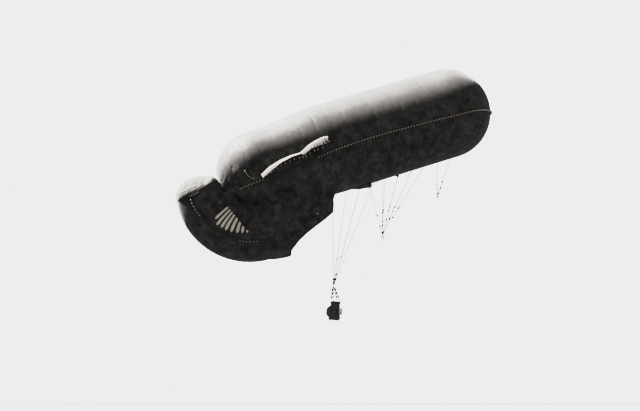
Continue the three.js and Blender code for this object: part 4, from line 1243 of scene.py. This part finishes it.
def ground():
    s = Shader("ground", Roughness=0.95)
    s.set(Base_Color=s.mix(s.spread(s.noise(s.coords(), 0.25, 8, 0.6), 0.3, 0.7), 0.12, 0.15))
    data = bpy.data.meshes.new("ground")
    ring = loop_points([-2, -4, FLOOR_Z], (FLOOR_RADIUS, 0, 0), (0, FLOOR_RADIUS, 0), 96)
    data.from_pydata(ring.tolist(), [], [tuple(range(96))])
    data.materials.append(s.material)
    disc = new_item("ground", data)
    disc.visible_diffuse = False
    disc.visible_glossy = False


FITTINGS = {
    "steel": ["nose_ring", "basket_shackle", "tether_shackle", "tether_link", "yoke_link", "basket_crown"],
    "wood": ["valve_ring", "valve_lid", "basket_skid_front", "basket_skid_rear", "floor_board", "rope_peg"],
}


def finish_cad():
    for material, names in FITTINGS.items():
        for name in names:
            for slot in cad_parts[name].material_slots:
                slot.material = MATERIALS[material]


ROPE_LOOK = {
    "fine": (120, 6, 0.7), "broad": (2.2, 5, 0.6), "first": (0, 0.3, 0.7, 0.65, 1.3),
    "second": (1, 0.45, 0.75, 0.5, 0.5), "rough": None, "bump": (0.0012, 0.7),
    "Roughness": 0.85, "Sheen_Weight": 0.2,
}
WICKER_LOOK = {
    "fine": (90, 7, 0.65), "broad": (11, 4, 0.5), "first": (1, 0.35, 0.65, 0.6, 1.35),
    "second": (0, 0.5, 0.8, 0.5, 0.45), "rough": (0.42, 0.62), "bump": (0.0008, 0.6),
}
WOOD_LOOK = {
    "fine": (60, 8, 0.6), "broad": (7, 4, 0.5), "first": (0, 0.35, 0.7, 0.7, 1.25),
    "second": (1, 0.5, 0.8, 0.45, 0.5), "rough": (0.37, 0.59), "bump": (0.0006, 0.5), "stretch": 0.12,
}
STEEL_LOOK = {
    "fine": (22, 8, 0.7), "broad": (9, 6, 0.6), "first": (0, 0.5, 0.75, 0.035, 0.12),
    "second": (1, 0.55, 0.75, 0.6, 0.07), "rough": (0.38, 0.62), "bump": (0.0008, 0.6), "Metallic": 0.55,
}

cloth("envelope", 0.10, seams=1.053, grime=(1, 4.0, 4.7))
cloth("lobe", 0.10, rough=0.8, grime=(0, -0.9, -0.4))
# Painted light: this near-white cloth is used only on the pleats, standing for sunlight on the bag's dark
# cloth
cloth("sail", 0.93, rough=0.85, stain=0.05)
cloth("sailcloth", 0.15, rough=0.85, stain=0.1)
cloth("canvas", 0.24, weave=700.0, rough=0.9)
webbing("belt", 0.11)
grained("rope", 0.26, **ROPE_LOOK)
grained("tarred", 0.08, **ROPE_LOOK)
grained("white_rope", 0.8, **ROPE_LOOK)
grained("wicker", 0.3, **WICKER_LOOK)
grained("wicker_dark", 0.2, **WICKER_LOOK)
grained("wood", 0.2, **WOOD_LOOK)
grained("white_wood", 0.97, **WOOD_LOOK)
grained("steel", 1.0, **STEEL_LOOK)
leather()

gas_bag()
steering_bag()
mouth_hem()
belts()
belt_toggles()
for name, side in SIDES:
    pleats(side, name)
    sail(side, name)
air_scoop()
filling_neck()
stays()
wicker()
rim()
basket_legs()
ballast()
side_pack()
rope_coil()
finish_cad()
ground()
